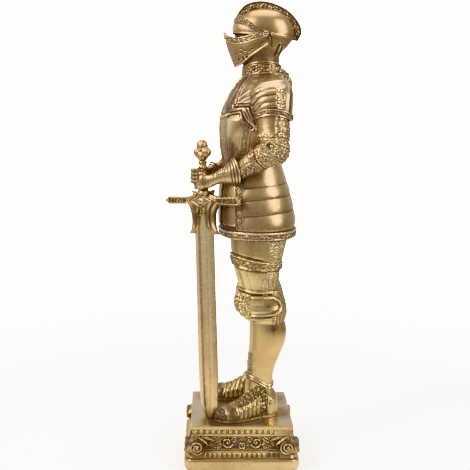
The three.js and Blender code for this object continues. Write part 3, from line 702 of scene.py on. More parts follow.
side_seam = [(22.6, 0.6, 192), (20.9, -0.6, 185.9), (19.2, -1.2, 179.5), (17.2, -1.9, 172.7), (16.4, -2, 166)]
back_plate = [
    (9, 27.5, 219.2), (18.1, 26.5, 218.4), (22.4, 24.6, 211), (23.4, 20.6, 203), (22.6, 20, 192),
    (18.6, 18, 172),
]
front_line = [(12.7, -10.9, 198), (12.2, -11.7, 187.4), (10.2, -11.5, 177.9), (9.5, -10.4, 170.6)]
wing_lines = [
    [(15.4, -7.6, 206.5), (17.4, -3.3, 210), (20, 1, 214)],
    [(17.2, -6, 204.6), (20, -1.6, 208), (23, 2, 210.5)],
]


def cuirass(clay):
    """Breast and back plates, with a scrolled strip down the front and raised borders."""
    def relief(s):
        a = np.abs(s.a)

        def route(places):
            return [(abs(x), z) for x, z in s.trace(places)]

        def distance_at(line):
            """How far from the middle a line that runs down the chest is at each height."""
            return np.interp(s.z, [z for _, z in line[::-1]], [off for off, _ in line[::-1]])

        h = 0.1 * wobble(s, 24, 5)
        h += 0.6 * rails(s.a, -4, 4, 0.5)
        h += 0.6 * scroll(s.z, s.a, 6, 3) * between(s.a, -3.5, 3.5)
        s.stain = -0.4 * between(s.a, -3.5, 3.5)
        edge = route(front_line)
        reach = distance_at(edge)
        chest = between(s.z, 162, 199, 2)
        field = between(a, 4.4, reach - 0.8) * chest
        h += field * (0.35 * scroll(s.z, (a - (reach + 4) / 2), 5.4, (reach - 4) / 2 - 0.8) - 0.1)
        h += 0.4 * ridge(a - reach, 0.9) * chest
        s.stain -= 0.15 * field + 0.25 * groove(a - reach - 1.3, 0.8) * chest
        for wing in wing_lines:
            h += 0.3 * ridge(line_distance(a, s.z, route(wing)), 1.1)
        inner, outer = route(yoke_inner), route(yoke_outer)
        d_inner, d_outer = line_distance(a, s.z, inner), line_distance(a, s.z, outer)
        h += 0.75 * ridge(d_inner, 0.95) + 0.7 * ridge(d_outer, 0.9)
        h += 0.4 * ridge(d_inner - 1.9, 0.7) + 0.35 * ridge(d_outer - 1.8, 0.7)
        s.stain -= 0.7 * groove(d_inner - 1, 0.4) + 0.7 * groove(d_outer - 1, 0.4)
        inside_yoke = (a < distance_at(inner)) & (d_outer < 4.6) & (s.z > 202)
        s.stain -= 0.75 * inside_yoke * (np.minimum(d_inner, d_outer) > 0.9) * (a > 5)
        s.stain -= 0.3 * between(s.z, 201, 222, 3) * (a > 4)
        upper, lower = route(armpit_upper), route(armpit_lower)
        d_upper, d_lower = line_distance(a, s.z, upper), line_distance(a, s.z, lower)
        h += 0.95 * ridge(d_upper, 1) + 0.95 * ridge(d_lower, 1)
        s.stain += 0.4 * ridge(d_upper, 0.8) + 0.4 * ridge(d_lower, 0.8)
        both = smooth((8.4 - d_upper - d_lower) / 1.2)
        ridges = np.maximum(ridge(d_upper - 2, 0.8), ridge(d_lower - 2, 0.8))
        ridges = np.maximum(ridges, ridge((d_upper - d_lower) / 2, 0.8))
        h += both * (1.1 * ridges - 0.6)
        s.stain -= both * (0.75 - 1.1 * ridges)
        corner = np.hypot((a - lower[1][0] + 1) / 8, (s.z - 201.5) / 4)
        s.stain -= 0.7 * smooth(1.25 - corner) * (d_upper > 0.8) * (d_lower > 0.8)
        s.stain -= 0.6 * groove(d_lower - 0.9, 0.35)
        breast = line_distance(a, s.z, [(4, 196.2), lower[0], lower[1]])
        h += 0.8 * ridge(breast, 0.95)
        s.stain -= 0.6 * groove(s.z - 198.2 - a * 0.06, 0.5) * (a < lower[1][0]) * (a > 4)
        seam = route(side_seam)
        d_seam = line_distance(a, s.z, seam)
        seam_at = distance_at(seam)
        work = scroll(s.z, seam_at - a, 4.4, 1.5)
        share = np.clip((a - reach - 0.7) / (seam_at - reach - 3.2), 0, 1)
        swell = (4 * share * (1 - share)) ** 0.8 * between(s.z, 166, 196.6, 4)
        high = smooth((s.z - 177) / 13)
        h += (0.9 + 0.9 * high) * swell
        # Painted highlight high on the breast plate, and painted shade on the lower part of its swell.
        brightened = groove(share - 0.32, 0.24) * between(s.z, 183, 198, 5)
        s.stain += 0.9 * brightened - 0.5 * swell * (1 - high)
        below_arm = smooth((194 - s.z) / 3)
        h += below_arm * (0.3 * ridge(d_seam - 2.2, 0.8) + 0.35 * work * (d_seam < 1.8))
        s.stain -= below_arm * 0.2 * (d_seam < 2.2)
        rear = route(back_plate)
        d_rear = line_distance(a, s.z, rear)
        h += 0.55 * ridge(d_rear, 1) + 0.3 * ridge(d_rear - 2, 0.8)
        s.stain -= 0.6 * groove(d_rear - 1.1, 0.35)
        spine, back = s.girth / 2 - a, between(s.z, 166, 214, 3)
        h += 0.35 * bead(spine, 1.2) * back + 0.25 * bead(spine - 3, 0.5) * back
        return h

    heights = levels(160, 224, 0.48)
    ring_shell(clay, cuirass_rows, heights, 300, cuirass_form, relief)


# Fauld: the skirt of plates below the waist
fauld_rows = [
    [118, -13.6, 33.4, 28.6, body_x], [124, -15.4, 34, 29.6, body_x], [130, -16, 33.8, 29.4, body_x],
    [138, -16.2, 32.6, 28.2, body_x], [146, -16, 30.8, 26.6, body_x], [154, -15.4, 28.4, 24.4, body_x],
    [161, -14.2, 25.8, 21.8, body_x], [168, -12.8, 23.6, 19.8, body_x],
]
fauld_form = {"squareness": 2.25}
hem_bottom, hem_top = 119.6, 125
lame_edges = [124.4, 135.4, 145.2, 153, 168]
fauld_band = [(-2.5, 163), (-2.6, 151.2), (-2.4, 141.9), (-2.1, 133.8), (-1.8, 125)]


def fauld(clay):
    """Lames that overlap at the sides, tassets in front and an ornamented hem."""
    def relief(s):
        rear = smooth((s.y + 6) / 3)
        slant = s.level - 0.1 * (s.y - 8)
        h = plates(slant, lame_edges, 0.62) * rear
        h += 0.13 * wobble(s, 22, 9) * (s.level > hem_top)
        band = s.trace([(body_x + 25 - 0.12 * (z - 125), y, z) for y, z in fauld_band])
        a = np.abs(s.a)
        middle = np.interp(s.z, [z for _, z in band[::-1]], [abs(v) for v, _ in band[::-1]])
        across = a - middle
        half = 2.7
        on_band = between(across, -half, half) * (s.level > hem_top + 0.4)
        h = h * (1 - on_band) + on_band * 0.45
        h += 0.12 * rails(across, -half, half, 0.5) * (s.level > hem_top)
        h += 0.4 * scroll(s.z, across, 4.6, 2.2) * between(across, -2.4, 2.4) * (s.level > hem_top + 0.6)
        s.stain = -0.22 * between(across, -2.7, 2.7) * (s.level > hem_top) - 0.1 * (s.level > hem_top)
        for edge in lame_edges[1:-1]:
            s.stain -= 0.3 * rear * (1 - on_band) * groove(slant - edge, 0.45)
        in_front = across < -half
        corner = np.hypot(np.clip(19.5 - a, 0, None), np.clip(133 - s.level, 0, None))
        tasset = smooth((5 - corner) / 0.4 + 0.5) * in_front
        strip = smooth((11.4 - a) / 0.4 + 0.5) * smooth((s.level - 127) / 0.5)
        h += 0.9 * np.maximum(tasset, strip * 0.8) * between(s.level, 120, 160, 6)
        h += 0.35 * bead(corner - 4.4, 0.5) * in_front * between(s.level, 120, 157, 3)
        bare = in_front * (1 - np.maximum(tasset, strip))
        s.stain -= 0.8 * bare * between(s.level, hem_top, 158, 2)
        up = s.level - hem_bottom
        hem = (s.level < hem_top) * 1.0
        tall = hem_top - hem_bottom
        hem_height = 1.0 - 1.2 * smooth((0.5 - up) / 0.5) - 0.5 * smooth((up - tall + 0.3) / 0.3)
        h = h * (1 - hem) + hem * hem_height
        h += hem * 0.5 * bead(up - tall + 0.75, 0.55) * (0.7 + 0.3 * np.cos(s.a * 2 * math.pi / 1.7))
        h += hem * 0.45 * twist(s.a, up - 0.7, 2.2, 0.6)
        inner = between(up, 1.35, tall - 1.4)
        work = scroll(s.a, up - tall / 2, 4.8, 1.25)
        h += 0.5 * work * inner * hem
        s.stain -= 0.3 * inner * hem
        return h

    heights = np.unique(np.concatenate([
        levels(hem_bottom - 0.6, hem_top + 0.6, 0.3), levels(hem_top + 0.6, 169, 0.52),
    ]))
    ring_shell(clay, fauld_rows, heights, 340, fauld_form, relief)


# Sword: where it stands, how it is turned and its sizes, which the hands follow
sword_point = np.array([18.5, -21, 0]) * unit
sword_guard = np.array([10, -26.4, 143]) * unit
sword_axis = (sword_guard - sword_point) / np.linalg.norm(sword_guard - sword_point)
guard_turn = math.radians(38)
guard_level = np.array([math.sin(guard_turn), math.cos(guard_turn), 0])
guard_along = guard_level - sword_axis * (sword_axis @ guard_level)
guard_along /= np.linalg.norm(guard_along)
guard_facing = np.cross(guard_along, sword_axis)
guard_span, guard_height, guard_depth = 59.5, 5, 4.2
blade_width, blade_thickness, langet_length = 13.6, 4.2, 21
grip_radius, grip_length, pommel_width = 2.3, 22.8, 12

# Arms: places of the elbow, of the cuff's end of the forearm, of the gauntlet from its mouth to the
# wrist, how far up the grip the fist is, how far before its middle, and how far it reaches round it
left_arm = {
    "side": 1, "elbow": (30.5, 17, 177.5), "cuff": (20.6, -3.2, 163.8), "radii": (8.4, 7.3, 5.4),
    "glove": [(20.6, -5.6, 161.4), (17.8, -12.4, 160), (15.8, -17, 158.4)], "mouth": 8.5,
    "hold": 0.53, "off": 0.8, "reach": 1.5, "grain": 1,
}
right_arm = {
    "side": -1, "elbow": (-36.5, 15, 177), "cuff": (-9.8, -19.2, 161.6), "radii": (7.2, 4.6, 3.6),
    "glove": [(-9, -20.6, 160.8), (-5, -23, 160.4), (-1.6, -24.6, 160)], "mouth": 4.8,
    "hold": 0.7, "off": 2.8, "reach": 1.8, "grain": 0.8,
}


def grain(count, limb):
    """Points along a grid: fewer on the side that the photograph hides."""
    return int(round(count * limb["grain"]))


def sword_at(along, facing, up):
    """Places on the sword: along the guard, away from the blade's flat, and up from the guard."""
    along, facing, up = (np.asarray(v, float)[..., None] for v in np.broadcast_arrays(along, facing, up))
    return sword_guard + guard_along * along + guard_facing * facing + sword_axis * up


pauldron_rows = [
    # front y, back y, half width and distance of its centre from the middle of the body
    [198.4, 5.2, 27.8, 10.6, 26], [203, 4.4, 28.4, 11.4, 25.4], [208, 2.4, 28.8, 12, 24],
    [213, 2, 28.6, 12, 22.2], [217, 4.6, 26.6, 10.8, 20.4], [220.4, 7.6, 24.6, 8, 18.4],
    [222.6, 11.4, 20.6, 4, 17],
]
pauldron_edges = [202.8, 206.4, 210.3, 213.9]


def pauldron(clay, arm):
    """The shoulder: curved plates, a stack of knobs behind them and an arched rim."""
    side = arm["side"]
    rows = [[z, front, back, wide, body_x + side * x] for z, front, back, wide, x in pauldron_rows]

    def relief(s):
        outward = side * (s.x - body_x)
        slant = s.level - 0.13 * (s.y - 12) + 0.06 * np.clip(11 - s.y, 0, None) ** 2
        middle = between(s.y, 1, 17.4, 1) * (outward > 12)
        h = middle * plates(slant, pauldron_edges, 0.85) + 0.06 * wobble(s, 15, 12)
        h += middle * 0.35 * bead(slant - 215.4, 0.9) + 0.3 * bead(slant - 218.4, 1.1)
        # Painted highlight on the top of the shoulder dome.
        s.stain = 0.5 * between(slant, 214.2, 218.6, 1.4) * smooth((s.y - 4) / 3)
        s.stain -= 0.12 * smooth((9 - s.y) / 6)
        for edge in pauldron_edges:
            s.stain -= middle * 0.4 * groove(slant - edge, 0.35)
        fan = line_distance(s.y, s.level, [(7, 213.4), (3, 212), (0, 208)])
        h += 0.4 * bead(fan, 0.8) + 0.35 * bead(line_distance(s.y, s.level, [(6, 209.6), (2.4, 206)]), 0.8)
        on_stack = between(s.y, 17.5, 22, 0.6) * (outward > 18) * between(s.level, 202.6, 215.4, 0.6)
        place = (s.level - 202.6) / 3.2
        knob = np.hypot((place % 1 - 0.5) * 3.2, s.y - 19.8)
        flower = rosette((place % 1 - 0.5) * 3.2, s.y - 19.8, 2.2, 5)
        h = h * (1 - on_stack) + on_stack * (0.4 + 1.1 * flower + 0.7 * bead(knob, 1.5))
        # The knobs are lighter, and a little lighter again towards the top of the stack.
        knob_stain = 0.8 * bead(knob, 2.2) + 0.15 * smooth((s.level - 208) / 4)
        s.stain = s.stain * (1 - on_stack) + on_stack * knob_stain
        h += 0.4 * rails(s.y, 16.9, 22.9, 0.4) * (outward > 18) * between(s.level, 203, 216.6, 0.4)
        rear = s.y - 24.2 - 0.1 * (s.level - 200)
        h += 0.4 * bead(rear, 0.6)
        s.stain -= 0.8 * groove(rear - 1.3, 0.6) * (s.level > 203)
        up = s.level - 198.4
        rim = (up < 4.2) * 1.0
        work = scroll(s.a, up - 2.1, 4.4, 1.2)
        h = h * (1 - rim) + rim * (0.7 + 0.45 * rails(up, 0, 4.2, 0.42) + 0.4 * work * between(up, 0.8, 3.5))
        s.stain = s.stain * (1 - rim) - 0.25 * rim * between(up, 0.9, 3.4)
        return h - 0.9 * smooth((0.35 - up) / 0.35)

    def bend(points, level):
        """The lower rim is an arch, highest at the side."""
        off = points[..., 1] - 14
        return -np.where(off < 0, 0.038, 0.02) * off ** 2 * smooth((210 - level) / 9)

    heights = levels(198.4, 222.5, 0.36, pauldron_edges)
    ring_shell(clay, rows, heights, grain(160, arm), {"squareness": 2.2}, relief, 0.7, bend)


def upper_arm(clay, arm):
    """The sleeve from shoulder to elbow, with a ring of leaves above the elbow."""
    side = arm["side"]
    elbow = arm["elbow"]
    path = [[0, body_x + side * 27, 15.5, 205], [0.55, body_x + side * 29, 16.4, 190], [1, *elbow]]
    radii = [[0, 10.4, 8.4], [0.55, 10, 8.2], [1, 8.4, 7.6]]
    shares = np.linspace(0, 1, 70)
    angles = round_angles(grain(124, arm))
    grid = limb_points(path, radii, shares, angles, (0, 1, 0))

    def relief(s):
        outward = side * (s.x - body_x)
        rear = smooth((s.y - 17) / 0.6) * (outward > 18)
        h = 0.05 * wobble(s, 12, 21)
        h += rear * (0.3 + 0.4 * curls(s.y - 17, s.z, 3.3, 4))
        h += 0.35 * bead(s.y - 17.2, 0.45) * (outward > 24)
        near = between(s.z, 183.6, 187.2)
        h = h * (1 - near) + near * (0.5 + 0.5 * curls(s.a, s.z, 2.6, 9))
        h += 0.4 * bead(s.z - 187.6, 0.45) + 0.4 * bead(s.z - 183.4, 0.4)
        s.stain = -0.05 * rear - 0.15 * near
        return h

    clay.sculpt(grid, relief, reach=0.7)


def couter(clay, arm):
    """The elbow: packed with curled leaves, with an almond-shaped wing on its outer side."""
    side = arm["side"]
    x, y, z = arm["elbow"]
    grid = ball_points((x + side * 0.4, y + 0.2, z), (8.6, 9.2, 9.8), 72, grain(140, arm))

    def relief(s):
        h = 0.55 * curls(s.a, s.z, 3.5, 31)
        for cut in (z - 4.6, z + 4.8):
            slope = 0.35 * (s.y - y)
            h = np.maximum(h, 0.85 * bead(s.z - cut + slope, 0.55))
            h -= 0.5 * groove(s.z - cut + slope + 0.95, 0.35)
        s.stain = -0.08
        return h

    clay.sculpt(grid, relief, reach=0.7)
    r = np.linspace(0.02, 1, 26)[:, None]
    angle = round_angles(90)[None, :]
    u, v = 5.7 * r * np.cos(angle), 5.2 * r * np.sin(angle)
    lean = math.radians(-38)
    along, across = u * math.cos(lean) + v * math.sin(lean), v * math.cos(lean) - u * math.sin(lean)
    almond = np.hypot(along / 4.4, across / 2.3)
    eye = 0.5 * bead(np.hypot(along / 1.6, across / 0.9), 1)
    height = 1.15 * np.sqrt(np.clip(1.12 - r ** 2, 0, 1)) + 0.5 * bead(almond - 1, 0.2)
    height -= 0.7 * smooth(1 - almond)
    height += eye
    petals = 0.4 * np.abs(np.cos(5 * angle)) * between(r, 0.62, 0.97, 0.1) * (almond > 1.15)
    height += petals - 3.2 * (r > 0.99)
    out = x + side * (7.6 + height)
    grid = np.stack([out, y - 2.2 + u, z + 1.4 + v], -1)
    stain = 0.7 * (height - 1.1) - 0.7 * (almond < 0.95) + eye
    clay.tube(grid, stain + 0 * u)


def forearm(clay, arm):
    """The sleeve below the elbow, and the gauntlet from its flared mouth to the wrist."""
    start, cuff = np.array(arm["elbow"], float), np.array(arm["cuff"], float)
    mouth, knuckle, hand = np.array(arm["glove"], float)
    path = [[0, *start], [0.5, *(start + cuff) / 2], [1, *cuff]]
    radii = [[t, r * 0.92, r] for t, r in zip((0, 0.5, 1), arm["radii"])]
    shares = np.linspace(0, 1, 82)
    angles = round_angles(grain(108, arm))
    grid = limb_points(path, radii, shares, angles, (1, 0, 0))
    length = np.linalg.norm(cuff - start)

    def relief(s):
        run = (shares * length)[:, None] + 0 * s.x
        first, far = 0.42 * length, arm["side"] < 0
        h = 0.04 * wobble(s, 10, 41)
        # Painted shade: the far arm is darker all over.
        s.stain = -0.15 * far
        for middle in (first, 0.78 * length) if far else (first,):
            d = run - middle - 0.12 * np.abs(s.a)
            on = between(d, -1.9, 1.9)
            h += on * (0.35 + 0.4 * scroll(s.a, d, 3.8, 1.4)) + 0.35 * rails(d, -1.9, 1.9, 0.36)
            s.stain -= 0.25 * on
        d = run - first - 0.12 * np.abs(s.a)
        packed = (d < -2.4) * 1.0
        h += 0.4 * curls(s.a, run, 3, 17) * packed - 0.35 * groove(d + 2.4, 0.4)
        for middle, tall in ((0.66, 0.35), (0.72, 0.35), (0.94, 0.4), (1.02, 0.4)):
            ring = run - middle * length
            h += tall * bead(ring, 0.45)
            s.stain -= 0.3 * groove(ring - 0.65, 0.3)
        down = (start[2] + (cuff[2] - start[2]) * run / length) - s.z
        below = smooth((down - 0.4) / 0.6) * (d > 2.2)
        vine = 0.6 * scroll(run, down - 2.9, 5.4, 2.3) * between(down, 0.6, 5.4)
        h = h * (1 - below) + below * (0.3 + vine)
        h += 0.35 * bead(down - 0.5, 0.45) * (d > 2.2)
        s.stain -= 0.2 * below
        s.stain -= 0.12 * packed
        return h

    clay.sculpt(grid, relief, reach=0.7)
    wide = arm["mouth"]
    flare = [
        (0, 0.94), (0.05, 1), (0.12, 0.95), (0.2, 0.85), (0.32, 0.73), (0.48, 0.63), (0.7, 0.54),
        (1, 0.46),
    ]
    radii = [[t, wide * r * 0.86, wide * r] for t, r in flare]
    shares = np.linspace(0, 1, 66)
    path = [[0, *mouth], [0.58, *knuckle], [1, *hand]]
    grid = limb_points(path, radii, shares, angles, (1, 0, 0))
    reach = np.linalg.norm(knuckle - mouth) + np.linalg.norm(hand - knuckle)
    bulge = np.clip(arm["side"] * np.cos(angles), 0, 1) ** 1.2
    open_end = smooth(1 - shares * 2.4)[:, None]
    grid[..., 1] += wide * 0.5 * bulge * open_end
    grid[..., 2] += wide * 0.24 * open_end

    def gauntlet_relief(s):
        run = (shares * reach)[:, None] + 0 * s.x
        h = 0.03 * wobble(s, 10, 43)
        s.stain = 0
        for middle, half, tall in ((0.45, 0.5, 0.65), (1.6, 0.45, 0.6), (2.6, 0.4, 0.45)):
            h += tall * bead(run - middle, half)
            s.stain -= 0.7 * groove(run - middle - 0.58, 0.25)
        for middle in (6.4, 8.6, 10.6):
            h += 0.25 * bead(run - middle, 0.4)
            s.stain -= 0.2 * groove(run - middle - 0.5, 0.3)
        crest = s.z - (mouth[2] + (hand[2] - mouth[2]) * run / reach)
        ladder = smooth((crest - 1.6) / 0.8) * (run > 3)
        h += ladder * (0.25 + 0.3 * np.abs(np.sin(math.pi * run / 1.5)))
        s.stain -= 0.3 * ladder * (np.abs(np.sin(math.pi * run / 1.5)) < 0.5)
        return h

    clay.sculpt(grid, gauntlet_relief, reach=0.7)


def gauntlet(clay, arm):
    """The hand: its back, a fist of four jointed fingers round the grip, and the thumb."""
    side, hold = arm["side"], arm["hold"] * grip_length
    middle = sword_at(0, 0, hold) + np.array([0, -arm["off"], 0])
    start = np.array(arm["glove"][-1], float) * unit
    inward = start - middle
    inward -= sword_axis * (inward @ sword_axis)
    inward /= np.linalg.norm(inward)
    across = np.cross(inward, sword_axis)
    reach = grip_radius + arm["reach"]
    fist = grip_length * 0.42
    outer = across * side

    def round_grip(turn, out):
        return middle + (reach + out) * (inward * math.cos(turn) + outer * math.sin(turn))

    palm = round_grip(0, 0.6)
    path = [
        [0, *(start * 1.08 - palm * 0.08)], [0.36, *(start * 0.5 + palm * 0.5)],
        [0.6, *round_grip(0.35, 0.9)], [0.8, *round_grip(1.0, 0.7)], [1, *round_grip(1.75, 0.3)],
    ]
    shares = np.linspace(0, 1, 50)
    angles = round_angles(60)
    back = [
        [0, 3.7, 3.4], [0.36, 3.8, 3], [0.6, fist / 2 - 0.3, 2.2], [0.9, fist / 2 - 0.3, 1.5],
        [0.97, fist / 2 - 1, 1.1], [1, 1.6, 0.5],
    ]
    grid = limb_points(path, back, shares, angles, (0, 0, 1), 2.3)
    length = np.linalg.norm(palm - start)

    def relief(s):
        run = (shares * length)[:, None] + 0 * s.x
        fine = 0.2 * bead((run / 2) % 1 - 0.5, 0.2) * (run < 0.55 * length)
        return fine + 0.03 * wobble(s, 8, 3)

    # Painted shade: the far hand's back is darker.
    clay.sculpt(grid, relief, reach=0.6, stain=-0.3 * (side < 0))
    # The core inside the fist is painted dark, as the shade between the fingers.
    core = ball_points(middle, (reach, reach, fist / 2 - 0.8), 20, 32)
    clay.tube(core, np.full(core.shape[:2], -0.5))
    joints = np.array([0.35, 1.45, 2.6, 3.6])
    for k in range(4):
        lift = (k - 1.5) * fist / 4.1
        bend = np.linspace(0.0, 4.0, 44)
        nearest = np.abs(bend[:, None] - joints[None]).min(1)
        knuckles = 0.97 + 0.08 * np.cos(np.clip(nearest / 0.5, 0, 1) * math.pi / 2)
        size = reach * (1 - 0.07 * abs(k - 1.2)) * knuckles
        centre = middle + sword_axis * lift + size[:, None] * (
            inward * np.cos(bend)[:, None] + across * side * np.sin(bend)[:, None])
        shares = np.linspace(0, 1, len(bend))
        path = np.concatenate([shares[:, None], centre], 1)
        half = fist / 8 + 0.25
        radii = [
            [0, half * 0.9, 1.5], [0.1, half, 1.6], [0.8, half * 0.95, 1.5], [0.94, half * 0.8, 1.2],
            [1, 0.4, 0.5],
        ]
        grid = limb_points(path, radii, shares, round_angles(20), sword_axis, 2.2)
        swell = bead(nearest / 0.34, 1)[:, None]
        # Painted shade: the far hand's fingers are darker.
        clay.sculpt(grid, lambda s: 0.18 * swell, reach=0.6, stain=-0.2 - 0.2 * (side < 0))
    path = [
        [0, *(palm + sword_axis * fist * 0.3)],
        [0.5, *(round_grip(0.9 * side, 0.5) + sword_axis * fist * 0.5)],
        [1, *(round_grip(1.9 * side, 0.2) + sword_axis * fist * 0.56)],
    ]
    thumb = [[0, 1.6, 1.5], [0.5, 1.6, 1.5], [0.8, 2, 1.8], [0.94, 1.5, 1.4], [1, 0.5, 0.5]]
    grid = limb_points(path, thumb, np.linspace(0, 1, 22), round_angles(20), sword_axis)
    clay.sculpt(grid, reach=0.5)


# Legs. Each row is front y, back y, half width and centre x of the left leg
thigh_rows = [
    [82, -1, 24.6, 11, 10.6], [88, -3, 23.4, 11.4, 10.3], [95, -5, 23.4, 12.4, 10],
    [103, -7, 24.4, 13.4, 9.6], [112, -8, 26.2, 14.2, 9.2], [122, -8.2, 28.4, 14.8, 9],
]
knee_rows = [
    [64, 3, 27, 10.6, 10.6], [67, 0.4, 28, 11.6, 10.6], [71, -3.2, 28.8, 12.2, 10.6],
    [77, -4.4, 28, 12.4, 10.6], [82, -4, 26.6, 12.2, 10.6], [86, -2.4, 25, 11.6, 10.6],
]
greave_rows = [
    [14, 2.6, 22, 7.6, 9.4], [20, 3, 21.2, 7.2, 9.2], [27, 4.2, 21, 7.4, 9.2], [34, 4.8, 22.6, 8.2, 9.6],
    [42, 5.2, 25.4, 9.6, 10], [50, 5.4, 28.4, 10.6, 10.2], [58, 5.4, 29.2, 11, 10.4],
    [67, 5.2, 27.2, 10.4, 10.6],
]
# how far each leg stands out and back from those rows, where its heel is, how far the shoe turns out in
# degrees, its length as a share of the rows, and how far the leaves run along its ridge
left_leg = {
    "side": 1, "splay": 0, "back": 0, "heel": (8.8, 22), "turn": 22.5, "shoe": 0.96, "crest": 30,
    "grain": 1,
}
right_leg = {
    "side": -1, "splay": 3.5, "back": 2.2, "heel": (-17.6, 21), "turn": 8, "shoe": 1, "crest": 15,
    "grain": 0.84,
}
# the ornamented band round the thigh: y, and z of its lower and upper edge
thigh_band = [
    [-8, 102.3, 109.4], [-2.7, 101, 108.3], [2.2, 100.2, 107.2], [9.9, 99.6, 105.9], [17, 99.3, 104.5],
    [26, 99, 103.6],
]
knee_wing = [
    (5.2, 82.1), (11.6, 82.3), (18.7, 82), (22.8, 79.6), (24.3, 76.5), (22.8, 73.2), (19.2, 71),
    (11.8, 70.3), (5.4, 69.9),
]
knee_gap = [(-4, 85.4), (1.5, 84.5), (5.2, 83.8), (10.3, 83.7), (16, 83.9), (22, 84)]
greave_foot = [(5, 25.6), (9.3, 24.1), (13.4, 21.7), (17.7, 18.9), (20, 19.6), (22.4, 21.6)]


def leg_rows(leg, rows):
    """The left leg's rows moved over to the given leg."""
    moved = []
    for z, front, back, wide, x in rows:
        down = min(max((120 - z) / 100, 0), 1)
        centre = x if leg["side"] > 0 else 2 * body_x - x - leg["splay"] * down
        moved.append([z, front + leg["back"], back + leg["back"] * 0.4, wide, centre])
    return moved


def outer_side(s, leg, rows):
    """How far a place lies to the outer side of the leg's middle."""
    return leg["side"] * (s.x - row_at(leg_rows(leg, rows), s.level)[..., 3])


def thigh(clay, leg):
    """Plate in front, mail behind and inside, and an ornamented band near the top."""
    band_y, band_low, band_top = np.array(thigh_band).T

    def relief(s):
        y = s.y - leg["back"] * 0.7
        low, high = np.interp(y, band_y, band_low), np.interp(y, band_y, band_top)
        h = 0.06 * wobble(s, 14, 51)
        out = outer_side(s, leg, thigh_rows)
        rear = smooth((y - 15.4) / 0.5)
        inner = smooth((-out - 8.4) / 0.5)
        chain = np.maximum(rear, inner)
        links = 0.9 * mail(s.a, s.z, 2.6) - 0.55
        h = h * (1 - chain) + chain * links
        chain_above = smooth((y - 16.5 + 0.25 * (s.z - 112)) / 0.5)
        h = np.where(s.z > high, chain_above * links, h)
        h += 0.5 * bead(y - 15, 0.55) * (s.z < low) * (out > 0)
        crease = line_distance(y, s.z, [(0.6, 99.2), (2.6, 92), (5, 84.7)])
        side = (out > 0) * (s.z < low)
        h += 0.3 * bead(crease, 0.7) * side
        tab = between(y, 12.2, 15.2) * between(s.z, 82, 93.6) * side
        h += 0.5 * tab
        tall = high - low
        up = s.z - low
        on = between(s.z, low, high)
        packed = 0.7 * curls(s.a, up, 2.2, 5) * (np.abs(y - 12) < 7)
        leaves = np.maximum(scroll(s.a, up - tall / 2, 5.2, 2.1), packed)
        field = between(up, 0.9, tall - 0.9)
        h = h * (1 - on) + on * (0.75 + 0.6 * leaves * field)
        h += 0.45 * rails(up, 0, tall, 0.45) + 0.3 * bead(up - 1.35, 0.3)
        above = groove(up - tall - 0.7, 0.7) * (y < 12)
        below = groove(up + 0.6, 0.5)
        # Painted reflection: outside the band the plate is lighter, with a darker vertical stroke above the
        # band.
        plate_reflection = 0.28 - 0.5 * groove(s.y - 3 - 0.1 * (s.z - 108), 2.2) * (s.z > high)
        s.stain = plate_reflection * (1 - on) - 0.3 * on * field - 0.9 * above - 0.6 * below
        return h - 0.4 * above - 0.3 * below

    heights = levels(82, 121.5, 0.42)
    form = {"keel": 0.6, "keel_width": 0.4, "tilt": -0.12}
    ring_shell(clay, leg_rows(leg, thigh_rows), heights, grain(176, leg), form, relief, 0.7)


def knee(clay, leg):
    """A plated cap with a lumpy front, and a raised tongue-shaped wing on its outer side."""
    def relief(s):
        y = s.y - leg["back"] * 0.7
        out = smooth((outer_side(s, leg, knee_rows) - 1) / 2)
        rear = smooth((y - 15.5 - 2 * out) / 1.5)
        h = 0.05 * wobble(s, 12, 61)
        gap = line_distance(y, s.z, knee_gap)
        above = (s.z > np.interp(y, [p[0] for p in knee_gap], [p[1] for p in knee_gap])) * 1.0
        h += 0.55 * bead(gap - 1.4, 0.7) * above - 0.7 * groove(gap, 0.5)
        s.stain = -0.9 * groove(gap, 0.6) * (y < 12)
        lumps = smooth((4 - y) / 2) * between(s.z, 68, 83.4)
        bulge = bead(np.hypot((y + 2) / 5.6, (s.z - 75.8) / 5.2), 1)
        h += lumps * (0.8 * curls(s.a + 0.4 * s.z, s.z, 2.7, 71) + 0.6 * bulge)
        s.stain -= 0.15 * lumps
        h += 0.6 * bead(s.level - 66.4 - 0.16 * (y - 5), 0.7)
        h += 0.35 * bead(s.level - 68.4 - 0.14 * (y - 5), 0.4) * (y < 18)
        h = h * (1 - rear) + rear * (0.85 * mail(s.a, s.z, 2.6) - 0.3)
        s.stain += 0.3 - 0.3 * rear
        rim = line_distance(y, s.z, knee_wing)
        cap_y, cap_z = np.clip(y, 5, 18.2), 76.2
        within = smooth((6.3 - np.hypot(y - cap_y, s.z - cap_z)) / 0.8) * smooth((y - 4.6) / 0.8)
        h = h * (1 - out * within) + out * within * (0.35 + 0.9 * smooth((77 - s.z) / 4))
        h += out * 1.25 * bead(rim, 0.95)
        worn = np.exp(-(((y - 16) / 2.8) ** 2) - ((s.z - 76.6) / 2.4) ** 2)
        s.stain += out * (0.1 * bead(rim, 0.9) + within * (rim > 1) * (0.25 - 1.0 * worn))
        s.stain -= 0.5 * out * groove(rim - 1.4, 0.5)
        return h

    heights = levels(64.2, 86.4, 0.36)
    form = {"keel": 0.6, "keel_width": 0.5, "tilt": -0.04}
    ring_shell(clay, leg_rows(leg, knee_rows), heights, grain(180, leg), form, relief, 0.7)


